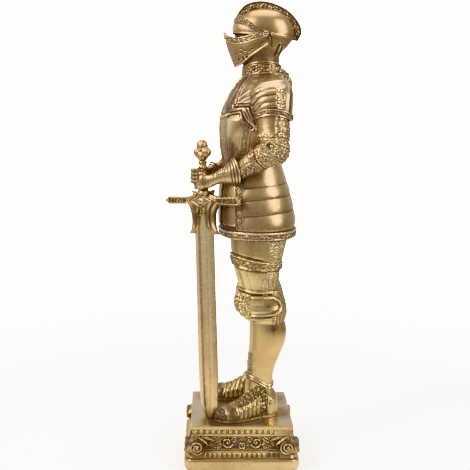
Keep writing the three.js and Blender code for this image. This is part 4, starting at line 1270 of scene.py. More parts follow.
def greave(clay, leg):
    """A smooth shin with a beaded strip low on its front and a rim over the foot."""
    foot_y, foot_z = np.array(greave_foot).T

    def relief(s):
        y = s.y - leg["back"] * 0.7
        out = outer_side(s, leg, greave_rows)
        h = 0.05 * wobble(s, 16, 81)
        shin = line_distance(y, s.z, [(6.9, 64), (7.2, 49), (7.6, 30), (8.4, 26)])
        h += 0.22 * bead(shin, 0.7) * (out > 0)
        strip = (y < 6.4) & (s.z < 43) & (s.z > 27)
        h += 0.4 * strip * curls(s.a, s.z, 2.8, 85)
        dots = beads(s.z, y - 7.4, 2.1, 0.6) * (s.z < 42) * (s.z > 26) * (out > 0)
        h += 0.4 * dots
        calf = line_distance(y, s.z, [(18.6, 66), (20.4, 56), (21.4, 47)])
        h -= 0.2 * groove(calf, 1.1)
        seam = line_distance(y, s.z, [(19.6, 46), (17.6, 36), (16, 27)])
        h -= 0.12 * groove(seam, 0.4)
        edge = s.z - np.interp(y, foot_y, foot_z)
        h += 0.7 * bead(edge - 1.6, 0.65) + 0.75 * bead(edge, 0.6) - 0.5 * smooth((-0.3 - edge) / 0.6)
        # A darker patch high on the back of the shin.
        dark_patch = groove(np.hypot((y - 19.5) / 5, (s.z - 61.6) / 4), 1) * (out > 0)
        s.stain = 0.1 - 0.6 * dark_patch - 0.25 * strip
        s.stain -= 0.8 * groove(edge - 0.8, 0.35) + 0.7 * groove(edge + 1, 0.5)
        return h

    heights = levels(13.5, 66.8, 0.55)
    form = {"keel": 0.8, "keel_width": 0.35}
    ring_shell(clay, leg_rows(leg, greave_rows), heights, grain(136, leg), form, relief)


sabaton_rows = [
    # distance from the heel, half width, height
    [-0.5, 4.4, 13], [1.4, 6.2, 17], [8, 7.2, 22], [15, 7.4, 20], [20, 7.8, 15], [27, 8.4, 10.6], [34, 8, 9],
    [39.5, 6.2, 7.4], [43, 3.4, 4.8], [44.5, 1, 2.6],
]


def sabaton(clay, leg):
    """The shoe: leaves over the instep, ribs across the foot, a boss and a leafy toe."""
    turn = math.radians(leg["turn"]) * leg["side"]
    along = np.array([math.sin(turn), -math.cos(turn), 0])
    across = np.array([math.cos(turn), math.sin(turn), 0])
    heel = np.array([*leg["heel"], 0])
    d = np.concatenate([np.linspace(-0.5, 1.4, 8), np.linspace(1.8, 42.5, 128), np.linspace(42.8, 44.5, 10)])
    wide, high = np.moveaxis(row_at(sabaton_rows, d), -1, 0)
    angle = np.linspace(0, math.pi, grain(88, leg))
    sideways = wide[:, None] * superround(np.cos(angle), 2.3)[None]
    z = 1.6 + (high[:, None] - 1.6) * superround(np.sin(angle), 2.3)[None]
    sole = np.linspace(-1, 1, 14)[None, :]
    foot = wide[:, None] + 0.6 * np.clip(44.6 - d, 0, 1)[:, None]
    rim_left = np.stack([-foot, 1.3 + 0 * foot], -1)
    rim_right = np.stack([foot, 1.3 + 0 * foot], -1)
    sideways = np.concatenate([sideways, rim_left[..., 0], foot * sole, rim_right[..., 0]], 1)
    z = np.concatenate([z, rim_left[..., 1], 0 * foot * sole, rim_right[..., 1]], 1)
    shown = d * leg["shoe"]
    grid = heel + shown[:, None, None] * along + sideways[..., None] * across
    grid[..., 2] += z

    def relief(s):
        run = d[:, None] + 0 * s.x
        over = s.z > 1.5
        rise = s.z / np.maximum(high[:, None], 1)
        h = 0.03 * wobble(s, 10, 91)
        h += 0.5 * between(run, 0, 8.6, 0.6) + 0.35 * bead(run - 8.2, 0.5)
        crest = smooth((rise - 0.62 - 0.012 * (run - 14)) / 0.1) * between(run, 10, leg["crest"], 1)
        instep = np.maximum(between(run, 8.8, 13.6, 0.5), crest)
        h += instep * 0.75 * curls(s.a + 0.5 * run, run, 2.5, 93)
        for place, height, size in ((6.4, 11.8, 2), (12.2, 9.3, 2), (9.4, 14.7, 1.8)):
            x, y = run - place, s.z - height
            near = np.hypot(x, y) < size * 1.2
            curl = bead(line_distance(x / size, y / size, CURL), 0.3) * near
            h += 0.9 * curl + 0.6 * bead(np.hypot(x, y), 0.6)
        lean = run + 0.1 * (s.z - 8)
        rib = (lean - 13.9) / 3.2
        ribs = between(lean, 13.9, 29.8, 0.4) * (1 - crest)
        uneven = 0.8 + 0.2 * np.cos(s.z * 1.3 + np.floor(rib))
        h += ribs * (1.2 * bead((rib % 1 - 0.5) * 2, 1.05) ** 1.1 - 0.2) * uneven
        h += 0.6 * bead(lean - 30.6, 0.7)
        dome = bead(np.hypot((run - 35) / 4, (rise - 0.3) / 0.75), 1)
        h += 1.2 * dome
        tip = smooth((run - 38.6) / 0.6)
        h += tip * (0.6 * curls(s.a, run, 2.3, 95) - 0.5)
        h = h * over
        s.stain = -0.55 * instep * over - 0.45 * over * (s.z < 2.4) + 0.45 * (s.z < 1.5) * (run < 37)
        # The toe's tip is painted dark: patina in its curls, and painted shadow like that in the gap by the
        # sword's point.
        s.stain -= over * (0.5 * smooth(dome * 3) * (1 - tip) + 0.75 * tip)
        s.stain -= 0.3 * ribs * over * (rise < 0.3)
        return h

    clay.sculpt(grid, relief, reach=0.7)


# Sword
langet_rows = [
    # share of the length, reach outside the blade's edge and inside it, depth past the flat
    [0, 9.2, 6.2, 1.9], [0.12, 5.8, 6, 1.9], [0.28, 3.3, 5.6, 1.8], [0.6, 2.2, 5, 1.5],
    [0.85, 3.3, 3.4, 1.2], [1, 5.6, -0.6, 0.5],
]


def blade(clay):
    """Two sharp edges, a shoulder on each side of a shallow groove, and a short point."""
    length = np.linalg.norm(sword_guard - sword_point)
    taper = blade_width * 0.62
    half, thick = blade_width / 2, blade_thickness / 2
    side_corners = [(1, 0.22), (0.86, 0.5), (0.56, 1), (0.46, 1.02), (0.36, 0.6), (0.3, 0.52), (0, 0.5)]
    corners = side_corners + [(-x, y) for x, y in side_corners[-2::-1]]
    section = np.array(corners + [(-x, -y) for x, y in corners])
    up = np.concatenate([np.linspace(0, -length + taper, 60), np.linspace(-length + taper, -length, 10)[1:]])
    # shares of the solid blade's width: drawn a little wider, but not near the shoe at its point
    width = np.interp(-up, [0, length - 26, length - taper, length], [1.13, 1.13, 1.02, 0.45])
    depth = np.interp(-up, [0, length - taper, length], [1, 1, 0.6])
    across, facing = width[:, None] * half * section[:, 0], depth[:, None] * thick * section[:, 1]
    grid = sword_at(across, facing, up[:, None])
    edge = np.abs(section[:, 0])
    fuller = groove(edge - 0.36, 0.05) * 0.42
    patina = np.where(np.abs(edge - 0.5) < 0.08, 0.2, 0) - fuller
    # Painted light: the blade is lighter near the guard and darker towards the point.
    clay.tube(grid, patina[None] * np.interp(-up, [0, length - taper, length], [1, 1, 0.3])[:, None]
              + np.interp(-up, [0, 40, 90, length], [0.9, 0.7, 0.2, -0.2])[:, None])


def guard(clay):
    """Diamonds and small bosses along the guard, a crown of leaves over its middle and a leaf below."""
    half = guard_span / 2
    # distance along the guard, and shares of its height and depth
    side_rows = [
        [2, 0.94, 1.55], [7, 0.78, 1.3], [12, 0.5, 0.95], [half * 0.5, 0.45, 0.84], [half - 1.4, 0.5, 0.95],
        [half, 0.28, 0.4],
    ]
    rows = [[-at, high, deep] for at, high, deep in side_rows[::-1]] + side_rows
    along = np.linspace(-half, half, 190)
    high = np.interp(along, *np.array(rows)[:, :2].T)[:, None] * guard_height
    deep = np.interp(along, np.array(rows)[:, 0], np.array(rows)[:, 2])[:, None] * guard_depth / 2
    section = np.array([
        (1, 0.55), (1, 0), (1, -0.55), (0.62, -1), (0, -1), (-0.62, -1),
        (-1, -0.55), (-1, 0), (-1, 0.55), (-0.62, 1), (0, 1), (0.62, 1),
    ])
    closed = np.concatenate([section, section[:1]])
    place = np.linspace(0, len(section), 76, endpoint=False)
    facing = np.interp(place, range(len(closed)), closed[:, 0])[None]
    upward = np.interp(place, range(len(closed)), closed[:, 1])[None]
    grid = sword_at(along[:, None] + 0 * facing, facing * deep, upward * high)

    def relief(s):
        x = along[:, None] + 0 * s.x
        y = upward * high
        on_face = np.abs(facing) > 0.8
        arm = smooth((np.abs(x) - 11.4) / 1)
        work = scroll(x, y, 4.6, 1.35)
        edge = bead(np.abs(y) - 1.6, 0.32)
        h = on_face * arm * (0.75 * work + 0.5 * edge - 0.25) * smooth((half - 1.4 - np.abs(x)) / 0.4)
        boss = 1 - (np.abs(x) / 12 + np.abs(y) / 4.9)
        rings = 0.55 * bead(boss - 0.05, 0.07) + 0.45 * bead(boss - 0.3, 0.07)
        rings += 0.9 * bead(np.hypot(x / 3.4, y / 1.9), 1)
        h += on_face * (1 - arm) * (rings + 0.5 * smooth(boss * 3))
        h += 0.25 * (~on_face) * bead(((x / 1.9) % 1 - 0.5) * 2, 0.9) * (np.abs(x) > 4)
        sunk = (1 - arm) * between(boss, 0.1, 0.26, 0.1)
        s.stain = on_face * (-0.5 * arm * (np.abs(y) < 1.4) - 0.6 * sunk - 0.1)
        return h

    clay.sculpt(grid, relief, reach=0.6)
    for facing_side in (1, -1):
        facing_way = guard_facing * facing_side
        for side in (-1, 0, 1):
            hang = guard_along * side * 0.55 - sword_axis
            root = sword_at(side * 1.3, facing_side * 3, -3.6)
            clay.patch(*leaf(root, facing_way, hang, 6.4 - 1.6 * abs(side), 2.6, 1.1))
            lean = guard_along * side * 0.8 + sword_axis
            root = sword_at(side * 3, facing_side * 3.4, 3.2)
            clay.patch(*leaf(root, facing_way, lean, 5.4 - 0.8 * abs(side), 4.2, 1.3))
    for side in (1, -1):
        for way in (1, -1):
            stud(clay, sword_at(side * (half - 0.8), way * 1.8, 0), way * guard_facing, 1.6, 5, 0.8, 1.4)


def leaf(root, facing, way, length, width, depth):
    """A veined leaf with lobed edges, on a surface facing that way: its grid, patina and hub for a patch."""
    root = np.array(root, float)
    facing = np.array(facing, float) / np.linalg.norm(facing)
    way = np.array(way, float)
    way -= facing * (way @ facing)
    way /= np.linalg.norm(way)
    side = np.cross(way, facing)
    t = np.linspace(0, 1, 26)[:, None]
    u = np.linspace(-1, 1, 23)[None, :]
    lobes = 1 - 0.22 * np.abs(np.sin(3.5 * math.pi * t)) * (t > 0.08)
    half = width / 2 * np.sin(math.pi * np.clip(0.12 + 0.88 * t, 0, 1)) ** 0.7 * lobes + 0.05
    veins = np.abs(np.sin(9 * t + 3.2 * np.abs(u)))
    height = depth * (1 - np.abs(u) ** 2.2) * (0.62 + 0.38 * t) + 0.3 * bead(u, 0.16)
    height -= 0.22 * veins * (np.abs(u) > 0.16)
    height += depth * 0.6 * t ** 3
    grid = root + way * (t * length + 0 * u)[..., None] + side * (u * half)[..., None]
    grid = grid + facing * height[..., None]
    stain = 0.7 * (height / depth - 0.75)
    return grid, stain, root + way * length / 2 - facing * 1.6


def langet(clay, side):
    """A fluted wing beside the blade, under the guard."""
    share = np.linspace(0, 1, 56)
    outer, inner, deep = np.moveaxis(row_at(langet_rows, share), -1, 0)[..., None]
    angle = round_angles(56)[None]
    across = superround(np.cos(angle), 1.7)
    flutes = 1 + 0.2 * np.cos(across * 3 * math.pi) * smooth((0.95 - share[:, None]) * 4)
    along = blade_width / 2 + (outer - inner) / 2 + (outer + inner) / 2 * across
    facing = (blade_thickness / 2 + deep) * superround(np.sin(angle), 1.7) * flutes
    grid = sword_at(side * along, facing, -langet_length * share[:, None] - 0.6 + 0 * angle)
    clay.tube(grid, np.clip(1.9 * (flutes - 1) - 0.12, -0.6, 0.4) + 0 * along)


def grip(clay):
    """A twisted grip with three turned collars."""
    up = np.linspace(-1, grip_length + 1, 70)[:, None]
    angle = round_angles(30)[None]
    grid = sword_at(grip_radius * np.cos(angle), grip_radius * np.sin(angle), up)
    clay.sculpt(grid, lambda s: 0.16 * np.sin(up * 2 * math.pi / 1.5 + angle), reach=0.5)
    collars = [(0.2, 0, 3.3, 1.1), (5.2, 0, 4.7, 2.3), (grip_length * 0.83, 1.2, 2.2, 2.2)]
    for place, off, radius, high in collars:
        clay.sculpt(turned_ball(-off, off, place, radius, high), reach=0.5)


def turned_ball(along, facing, up, radius, high, rows=20, columns=34):
    """A ball on the grip, flattened or drawn out along it."""
    down = np.linspace(0.05, math.pi - 0.05, rows)[:, None]
    angle = round_angles(columns)[None]
    across = radius * np.sin(down)
    return sword_at(along + across * np.cos(angle), facing + across * np.sin(angle), up + high * np.cos(down))


def pommel(clay):
    """A trefoil of four lobes over two turned rings."""
    half = pommel_width / 2
    # place along the guard and up from the grip's end, radius, half height, and whether it is chequered
    balls = [
        (0, -0.2, 0.5, 0.3, False), (0, 0.3, 0.5, 0.3, False), (0, 1.05, 0.62, 0.58, True),
        (0.48, 1.36, 0.56, 0.54, True), (-0.48, 1.36, 0.56, 0.54, True), (0, 2.07, 0.6, 0.66, True),
    ]
    for along, up, radius, high, chequered in balls:
        grid = turned_ball(along * half, 0, grip_length + up * half, radius * half, high * half, 28, 48)
        if chequered:
            clay.sculpt(grid, lambda s: 0.5 * checker(s.a, s.b, 2.3) - 0.1, reach=0.8)
        else:
            clay.sculpt(grid, reach=0.6)


# Plinth
frieze_height, base_height = 9.5, 13.1
roll_height, foot_rise = base_height * 0.66, 5.44
base_side = plinth_high[0] - plinth_low[0]
plinth_height = plinth_high[2]
top_side, foot_side, frieze_depth, volute_radius = base_side - 8.6, base_side - 5, 2.4, 4.7
frieze_side = top_side - 2 * frieze_depth
frieze_top = base_height + frieze_height
volute_at = 29.2
egg_side, egg_pitch, bead_count = base_side - 4.6, 3.2, 17


def square_grid(profile, count):
    """A square loft with cut corners: profile rows are [z, full side, corner cut]."""
    profile = np.array(profile, float)
    rows = []
    for z, side, cut in profile:
        half = side / 2
        inner = half - cut
        corners = [
            (half, -inner), (half, inner), (inner, half), (-inner, half),
            (-half, inner), (-half, -inner), (-inner, -half), (inner, -half),
        ]
        ring = []
        for k, (x, y) in enumerate(corners):
            nx, ny = corners[(k + 1) % 8]
            n = count if k % 2 == 0 else 3
            for t in np.arange(n) / n:
                bulge = 0.25 * cut * math.sin(math.pi * t) if k % 2 else 0
                px, py = x + (nx - x) * t, y + (ny - y) * t
                length = math.hypot(px, py)
                ring.append((px * (1 + bulge / length), py * (1 + bulge / length), z))
        rows.append(ring)
    return np.array(rows)


def plinth_body(clay):
    """The whole plinth in one loft: rounded base, egg row, hollow frieze and slab."""
    turns = [(t, math.sin(t * math.pi / 2), 1 - math.cos(t * math.pi / 2)) for t in np.linspace(0, 1, 13)]
    low = [[foot_rise * fall, foot_side + (base_side - foot_side) * rise, 4 + t] for t, rise, fall in turns]
    high = [[roll_height - 1.9 + 1.9 * rise, base_side - 2.4 * fall, 5 - t] for t, rise, fall in turns]
    eggs = [
        [roll_height + 0.15, base_side - 4.2, 3.6], [roll_height + 0.5, egg_side, 3.4],
        [base_height - 0.6, top_side + 2, 3], [base_height - 0.4, top_side + 1.4, 3],
        [base_height, top_side + 0.8, 2.8], [base_height + 0.2, frieze_side + 1.6, 2],
    ]
    hollow = [
        [base_height + frieze_height * t, frieze_side + 1.8 * (2 * t - 1) ** 2, 2]
        for t in np.linspace(0.03, 0.94, 14)
    ]
    cap = [
        [frieze_top - 0.3, top_side - 2, 1], [frieze_top, top_side - 1.2, 0.8],
        [frieze_top + 0.5, top_side - 0.6, 0.6], [frieze_top + 1.9, top_side - 1, 0.6],
        [frieze_top + 2.1, top_side - 2, 0.6], [plinth_height - 2.9, top_side - 1.6, 0.6],
        [plinth_height - 2.7, top_side - 0.4, 0.6], [plinth_height - 2.4, top_side, 0.6],
        [plinth_height - 0.35, top_side, 0.6], [plinth_height - 0.08, top_side - 0.25, 0.6],
        [plinth_height, top_side - 0.8, 0.6],
    ]
    slab = [[plinth_height, top_side * (1 - t), 0.4] for t in np.linspace(0.06, 0.86, 15)]
    rows = low + high + eggs + hollow + cap + slab
    grid = square_grid(rows, 34)

    def relief(s):
        s.stain = -0.5 * between(s.z, base_height + 0.1, frieze_top - 0.2)
        s.stain -= 0.5 * between(s.z, frieze_top + 1.9, frieze_top + 2.4)
        # On the slab's top: a painted reflection, lighter towards its left and right ends, and painted shadow
        # round the feet.
        away = smooth((np.abs(s.y + 2) - 15) / 8)
        foot_shadow, toe_at = 0 * s.x, 38
        for leg in (left_leg, right_leg):
            turn = math.radians(leg["turn"]) * leg["side"]
            heel = leg["heel"]
            tip = (heel[0] + toe_at * math.sin(turn), heel[1] - toe_at * math.cos(turn))
            foot_shadow = np.maximum(foot_shadow, smooth((16 - line_distance(s.x, s.y, [heel, tip])) / 8))
        s.stain += (0.75 * away - 0.3 - 0.7 * foot_shadow) * (s.z > plinth_height - 0.2)
        s.stain += 0.22 * smooth((roll_height - s.z) / 2)
        return 0.07 * wobble(s, 14, 111)

    clay.sculpt(grid, relief)


def turned_face(points, quarter):
    """What is drawn for the -Y face, turned round to another."""
    c, s = round(math.cos(quarter * math.pi / 2)), round(math.sin(quarter * math.pi / 2))
    x, y, z = np.moveaxis(points, -1, 0)
    return np.stack([c * x - s * y, s * x + c * y, z], -1)


def frieze_relief(x, z):
    """Feathery acanthus that sweeps from each corner to two curls and a small medallion in the middle."""
    a = np.abs(x)
    rise = z - base_height - frieze_height / 2
    sweep = rise + 0.5 * (a - 17) + 0.035 * (a - 14) ** 2
    plume = np.abs((sweep / 1.75) % 1 - 0.5) * 1.75
    leaf_field = between(a, 10.5, 27, 1) * between(rise, -3.4, 4.4, 0.6)
    h = leaf_field * (0.55 + 0.8 * bead(plume, 0.6))
    midrib = rise + 0.42 * (a - 17.5)
    h = np.maximum(h, 1.6 * bead(midrib, 0.55) * leaf_field)
    for place, high, radius, turns in ((9.4, 0.2, 3.9, 1), (4.9, 2, 2.3, -1), (14.8, -2.4, 2, -1)):
        u, v = (a - place) / radius, turns * (rise - high) / radius
        near = np.hypot(u, v) < 1.15
        curl = np.maximum(bead(line_distance(u, v, CURL) * radius, 0.6), bead(np.hypot(u, v), 0.22))
        h = np.where(near, np.maximum(0.35 * h, 1.5 * curl), h)
    strokes = np.abs(np.sin(2.2 * a - 1.4 * rise))
    h = h * (0.78 + 0.22 * strokes) + 0.3 * (1 - smooth(h / 0.5)) * strokes ** 2
    h = np.maximum(h, 1.2 * bead(z - base_height - 0.55, 0.6))
    r = np.hypot(x, rise + 1.9)
    medal = np.maximum(bead(r - 1.9, 0.5), rosette(x, rise + 1.9, 1.5, 5))
    return np.where(r < 2.5, 1.5 * medal, h)


def carve(clay, quarter, x, z, depth, relief, stain=0.0, reach=0.7):
    """One strip of carving: x across the face, z up it, depth(z) the half side it lies on."""
    hub = np.array([0.0, -20, 15])
    xx, zz = np.meshgrid(x, z)
    grid = np.stack([xx, -depth(zz) + 0 * xx, zz], -1)
    h = relief(xx, zz)
    patina = Site(grid, False, hub).hollows(h, reach) * 1.6
    patina = patina + (stain(xx, zz) if callable(stain) else stain)
    grid[..., 1] -= h
    clay.patch(turned_face(grid, quarter), patina, turned_face(hub, quarter))


def frieze(clay, quarter):
    """The hollow between slab and base, filled with leaves."""
    edge = frieze_side / 2

    def hollow(z):
        return edge - 0.15 + 0.9 * ((z - base_height) / frieze_height * 2 - 1) ** 2

    x = np.linspace(-edge + 1, edge - 1, 166)
    z = np.linspace(base_height + 0.3, frieze_top - 0.2, 30)
    carve(clay, quarter, x, z, hollow, frieze_relief, -0.36)


def bead_row(clay, quarter):
    """The slab's edge: round beads with small ones between them, worn flat at the right end."""
    half = top_side / 2 - 0.9
    pitch = 2 * half / bead_count
    low, high = plinth_height - 6.1, plinth_height - 2.7
    middle = (low + high) / 2
    wear_starts = 20.5

    def relief(x, z):
        u = (x / pitch + 0.5) % 1 - 0.5
        row = bead(np.hypot(u * pitch / 1.35, (z - middle) / 1.55), 1)
        row += 0.55 * bead(np.hypot((np.abs(u) - 0.5) * pitch / 0.4, (z - middle) / 1), 1)
        worn = smooth((x - wear_starts) / 1.5)
        return row * (1 - worn) + worn * (0.5 + 0.5 * bead(np.hypot(u * pitch, z - middle), 0.6))

    x = np.linspace(-half, half, 238)
    z = np.linspace(low, high, 11)
    carve(clay, quarter, x, z, lambda z: half + 0.1, relief, -0.2, 0.6)


def egg_row(clay, quarter):
    """The sloping row under the frieze: upright eggs and darts, worn away and stained at the right end."""
    low, high = roll_height + 0.35, base_height - 0.5
    middle = (low + high) / 2
    wear_starts = 15.6
    slope = (egg_side - top_side - 1.6) / 2 / (high - low)

    def place(x):
        return (x / egg_pitch) % 1 - 0.5

    def relief(x, z):
        u = place(x)
        egg = bead(np.hypot(u * egg_pitch / 1.15, (z - middle) / 1.7), 1)
        dart = bead((np.abs(u) - 0.5) * egg_pitch, 0.3) * 0.7
        worn = smooth((x - wear_starts) / 0.4) * (np.abs(u) < 0.34)
        ends = smooth((25.2 - np.abs(x)) / 1)
        row = 0.9 * np.maximum(egg, dart) * (1 - worn) + 0.15 * worn
        return ends * row * between(z, low + 0.25, high - 0.2)

    def stain(x, z):
        blot = np.hypot(place(x) * egg_pitch / 1.15, (z - middle) / (1.5 + 0.3 * np.sin(2.4 * x)))
        worn = smooth((x - wear_starts) / 0.4) * smooth((24.6 - x) / 0.4)
        return -0.15 - 1.3 * worn * smooth((1.1 - blot) / 0.3)

    x = np.linspace(-25.5, 25.5, 196)
    z = np.linspace(low, high, 17)
    carve(clay, quarter, x, z, lambda z: egg_side / 2 - (z - low) * slope + 0.05, relief, stain, 0.6)


def base_leaf(clay, quarter):
    """A single fanned leaf low on the base."""
    def relief(x, z):
        across = x - 4.4
        r = np.hypot(across / 3.2, (z - 8) / 5.6)
        veins = 0.7 + 0.3 * np.abs(np.cos(np.arctan2(across, 8.6 - z) * 4))
        return 0.9 * np.sqrt(np.clip(1 - r, 0, 1)) * veins - 0.25

    x = np.linspace(1, 7.8, 24)
    z = np.linspace(2.2, 8.6, 20)
    carve(clay, quarter, x, z, lambda z: base_side / 2 - 0.35, relief)


def volute(clay, quarter, side):
    """A scroll at a corner: a spiral on its face, its rim, and a leaf that sweeps down from the slab."""
    x, z = side * volute_at, base_height + 3.2
    front = -base_side / 2 + 0.55
    r = np.concatenate([np.linspace(0.02, 0.97, 28), [1.0, 1.02, 1.0]])[:, None]
    angle = round_angles(64)[None, :]
    phase = (r * 2.3 + side * (angle - 0.6) / (2 * math.pi)) % 1
    coil = bead((phase - 0.5) * 2, 0.75)
    face = r < 0.985
    depth = np.where(face, -0.9 + 1.2 * coil * smooth(r * 6) + 1.1 * bead(r, 0.2), -0.3)
    back = np.array([0.0] * 28 + [0.2, 1.0, 4.5])[:, None]
    across, rise = volute_radius * r * np.cos(angle), volute_radius * r * np.sin(angle)
    grid = np.stack([x + across, front + back - depth + 0 * angle, z + rise], -1)
    stain = np.where(face, 1.2 * (depth - 0.1), -0.4) + 0 * angle
    clay.tube(turned_face(grid, quarter), np.clip(stain, -0.9, 0.5))
    leaves = [
        # root, way it grows, length and width
        (top_side / 2 - 4.5, frieze_top - 0.4, (-0.85, -0.6), 8.5, 3.2),
        (top_side / 2 - 7, frieze_top - 0.2, (-1, -0.25), 8.5, 2.6),
    ]
    for root_x, root_z, (way_x, way_z), length, width in leaves:
        root = np.array([side * root_x, -top_side / 2 + 0.4, root_z])
        grid, stain, hub = leaf(root, (0, -1, 0.1), (side * way_x, 0, way_z), length, width, 1.5)
        clay.patch(turned_face(grid, quarter), stain, turned_face(hub, quarter))


def horn(clay, quarter):
    """The bracket at a corner, which flares from under the slab to the base and carries two scrolls."""
    t = np.linspace(0, 1, 26)
    outer = top_side / 2 - 0.5 + (base_side - top_side + 1.2) / 2 * np.clip(t * 1.25, 0, 1) ** 1.5
    outer -= 1.6 * smooth((t - 0.84) / 0.16)
    wide = 3.4 + 1.9 * smooth(t * 1.3)
    z = frieze_top + 0.6 - t * (frieze_height + 1.8)
    angle = round_angles(56)[None]
    flutes = 1 + 0.035 * np.cos(12 * angle) * smooth((0.9 - t[:, None]) * 5)
    x = (outer - wide)[:, None] + wide[:, None] * superround(np.cos(angle), 3.2) * flutes
    y = -(outer - wide)[:, None] + wide[:, None] * superround(np.sin(angle), 3.2) * flutes
    grid = np.stack([x, y, z[:, None] + 0 * x], -1)
    stain = 5 * (flutes - 1) - 0.25 - 0.6 * (t > 0.9)[:, None]
    clay.tube(turned_face(grid, quarter), np.clip(stain + 0 * x, -0.9, 0.3))


# Finishes
class Wire:
    """A value in a finish. Sums, products and quotients of wires add the nodes that work them out."""

    def __init__(self, wiring, socket):
        self.wiring, self.socket = wiring, socket

    def work(self, operation, *values, clamp=False):
        settings = {"operation": operation, "use_clamp": clamp}
        return self.wiring.node("ShaderNodeMath", settings, dict(enumerate(values)))

    def __add__(self, other):
        return self.work("ADD", self, other)

    def __sub__(self, other):
        return self.work("SUBTRACT", self, other)

    def __rsub__(self, other):
        return self.work("SUBTRACT", other, self)

    def __mul__(self, other):
        return self.work("MULTIPLY", self, other)

    def __truediv__(self, other):
        return self.work("DIVIDE", self, other)

    def __neg__(self):
        return self.work("MULTIPLY", self, -1)

    def clamp(self):
        return self.work("ADD", self, 0, clamp=True)

    def over(self, low, high):
        """0 below low and 1 above high."""
        return ((self - low) / (high - low)).clamp()

    __radd__ = __add__
    __rmul__ = __mul__


class Wiring:
    """Nodes of one tree."""

    def __init__(self, tree):
        self.tree = tree

    def node(self, kind, settings=None, links=None, output=0):
        made = self.tree.nodes.new(kind)
        for key, value in (settings or {}).items():
            setattr(made, key, value)
        for key, value in (links or {}).items():
            self.feed(made.inputs[key], value)
        return Wire(self, made.outputs[output])

    def feed(self, socket, value):
        if isinstance(value, Wire):
            self.tree.links.new(value.socket, socket)
        else:
            socket.default_value = value

    def mix(self, factor, first, second):
        """A colour between two colours."""
        return self.node("ShaderNodeMix", {"data_type": "RGBA"}, {0: factor, 6: first, 7: second}, 2)

    def noise(self, scale, detail, roughness=0.55):
        place = self.node("ShaderNodeTexCoord", output=3)
        sockets = {"Vector": place, "Scale": scale, "Detail": detail, "Roughness": roughness}
        return self.node("ShaderNodeTexNoise", {}, sockets)


class Finish(Wiring):
    """A material whose shader's sockets are fed with wires."""

    def __init__(self, name):
        self.material = bpy.data.materials.new(name)
        self.material.use_nodes = True
        super().__init__(self.material.node_tree)
        self.shader = next(n for n in self.tree.nodes if n.type == "BSDF_PRINCIPLED")

    def set(self, **sockets):
        for name, value in sockets.items():
            self.feed(self.shader.inputs[name.replace("_", " ")], value)


def antique_gold(name, gold, light, dark, gloss=0.0):
    """Gold paint over resin: brown patina in hollows, worn bright where raised, plus painted shade and
    highlights.
    """
    finish = Finish(name)
    stain = finish.node("ShaderNodeAttribute", {"attribute_name": "patina"}, output=2)
    broad = finish.noise(34, 3)
    fine = finish.noise(420, 4, 0.6)
    speck = finish.noise(1500, 2, 0.6)
    # Darker where the values are low: patina in hollows and painted shade. Lighter where they are high: worn
    # relief and painted highlights.
    depth = (-stain + (fine - 0.5) * 0.55 + (broad - 0.5) * 0.4).over(0.02, 0.5)
    brightened = (stain + (fine - 0.5) * 0.3).over(0.15, 0.7)
    brown = (gold[0] * 0.66, gold[1] * 0.58, gold[2] * 0.5, 1)
    base = finish.mix(broad.over(0.42, 0.72) * 0.7, (*gold, 1), brown)
    base = finish.mix(brightened * 0.75, base, (*light, 1))
    base = finish.mix(depth * 0.93, base, (*dark, 1))
    spots = (speck.over(0.64, 0.74) * (1 - brightened)) * 0.4
    base = finish.mix(spots, base, (*dark, 1))
    rough = 0.33 - gloss + depth * 0.25 - brightened * 0.05 + (fine - 0.5) * 0.2 + (broad - 0.5) * 0.12
    grain = fine * 0.6 + speck * 0.4
    bump = finish.node("ShaderNodeBump", {}, {"Strength": 0.3, "Distance": 0.0004, "Height": grain})
    finish.set(Base_Color=base, Metallic=0.95 - depth * 0.45, Roughness=rough.clamp(), Normal=bump)
    finish.set(Coat_Weight=0.12, Coat_Roughness=0.22, Specular_IOR_Level=0.25)
    return finish.material


armour_gold = antique_gold("armour gold", (0.40, 0.281, 0.15), (0.655, 0.54, 0.365), (0.066, 0.037, 0.023))
sword_gold = antique_gold(
    "sword gold", (0.405, 0.285, 0.148), (0.655, 0.52, 0.315), (0.07, 0.042, 0.027), gloss=0.03)
leg_gold = antique_gold("leg gold", (0.385, 0.275, 0.13), (0.61, 0.505, 0.29), (0.068, 0.039, 0.023))
plinth_gold = antique_gold("plinth gold", (0.405, 0.288, 0.14), (0.66, 0.53, 0.39), (0.07, 0.04, 0.028))


# The statue's pieces
body_armour = {
    "helmet": (skull, comb, pivots),
    "visor": (lower_visor, upper_visor),
    "collar": (collar,),
    "cuirass": (cuirass,),
    "fauld": (fauld,),
}
for name, makers in body_armour.items():
    piece = armour_piece(name)
    for make in makers:
        make(piece)
    piece.finish(armour_gold)

for word, arm in (("left", left_arm), ("right", right_arm)):
    sleeve = armour_piece(word + "_arm")
    for make in (pauldron, upper_arm, couter, forearm):
        make(sleeve, arm)
    sleeve.finish(armour_gold)

hands = Clay("gauntlets", "gilt_armour", "knight", 1.0, floor_z)
for arm in (left_arm, right_arm):
    gauntlet(hands, arm)
hands.finish(armour_gold)

for word, leg in (("left", left_leg), ("right", right_leg)):
    limb = armour_piece(word + "_leg")
    for make in (thigh, knee, greave, sabaton):
        make(limb, leg)
    limb.finish(leg_gold)

longsword = Clay("longsword", "gilt_sword", "sword", 1.0, floor_z)
blade(longsword)
guard(longsword)
for side in (1, -1):
    langet(longsword, side)
grip(longsword)
pommel(longsword)
longsword.finish(sword_gold)

base = Clay("plinth_carved", "gilt_plinth", "plinth")
plinth_body(base)
for quarter in range(4):
    for make in (frieze, bead_row, egg_row, base_leaf, horn):
        make(base, quarter)
    for side in (1, -1):
        volute(base, quarter, side)
base.finish(plinth_gold)


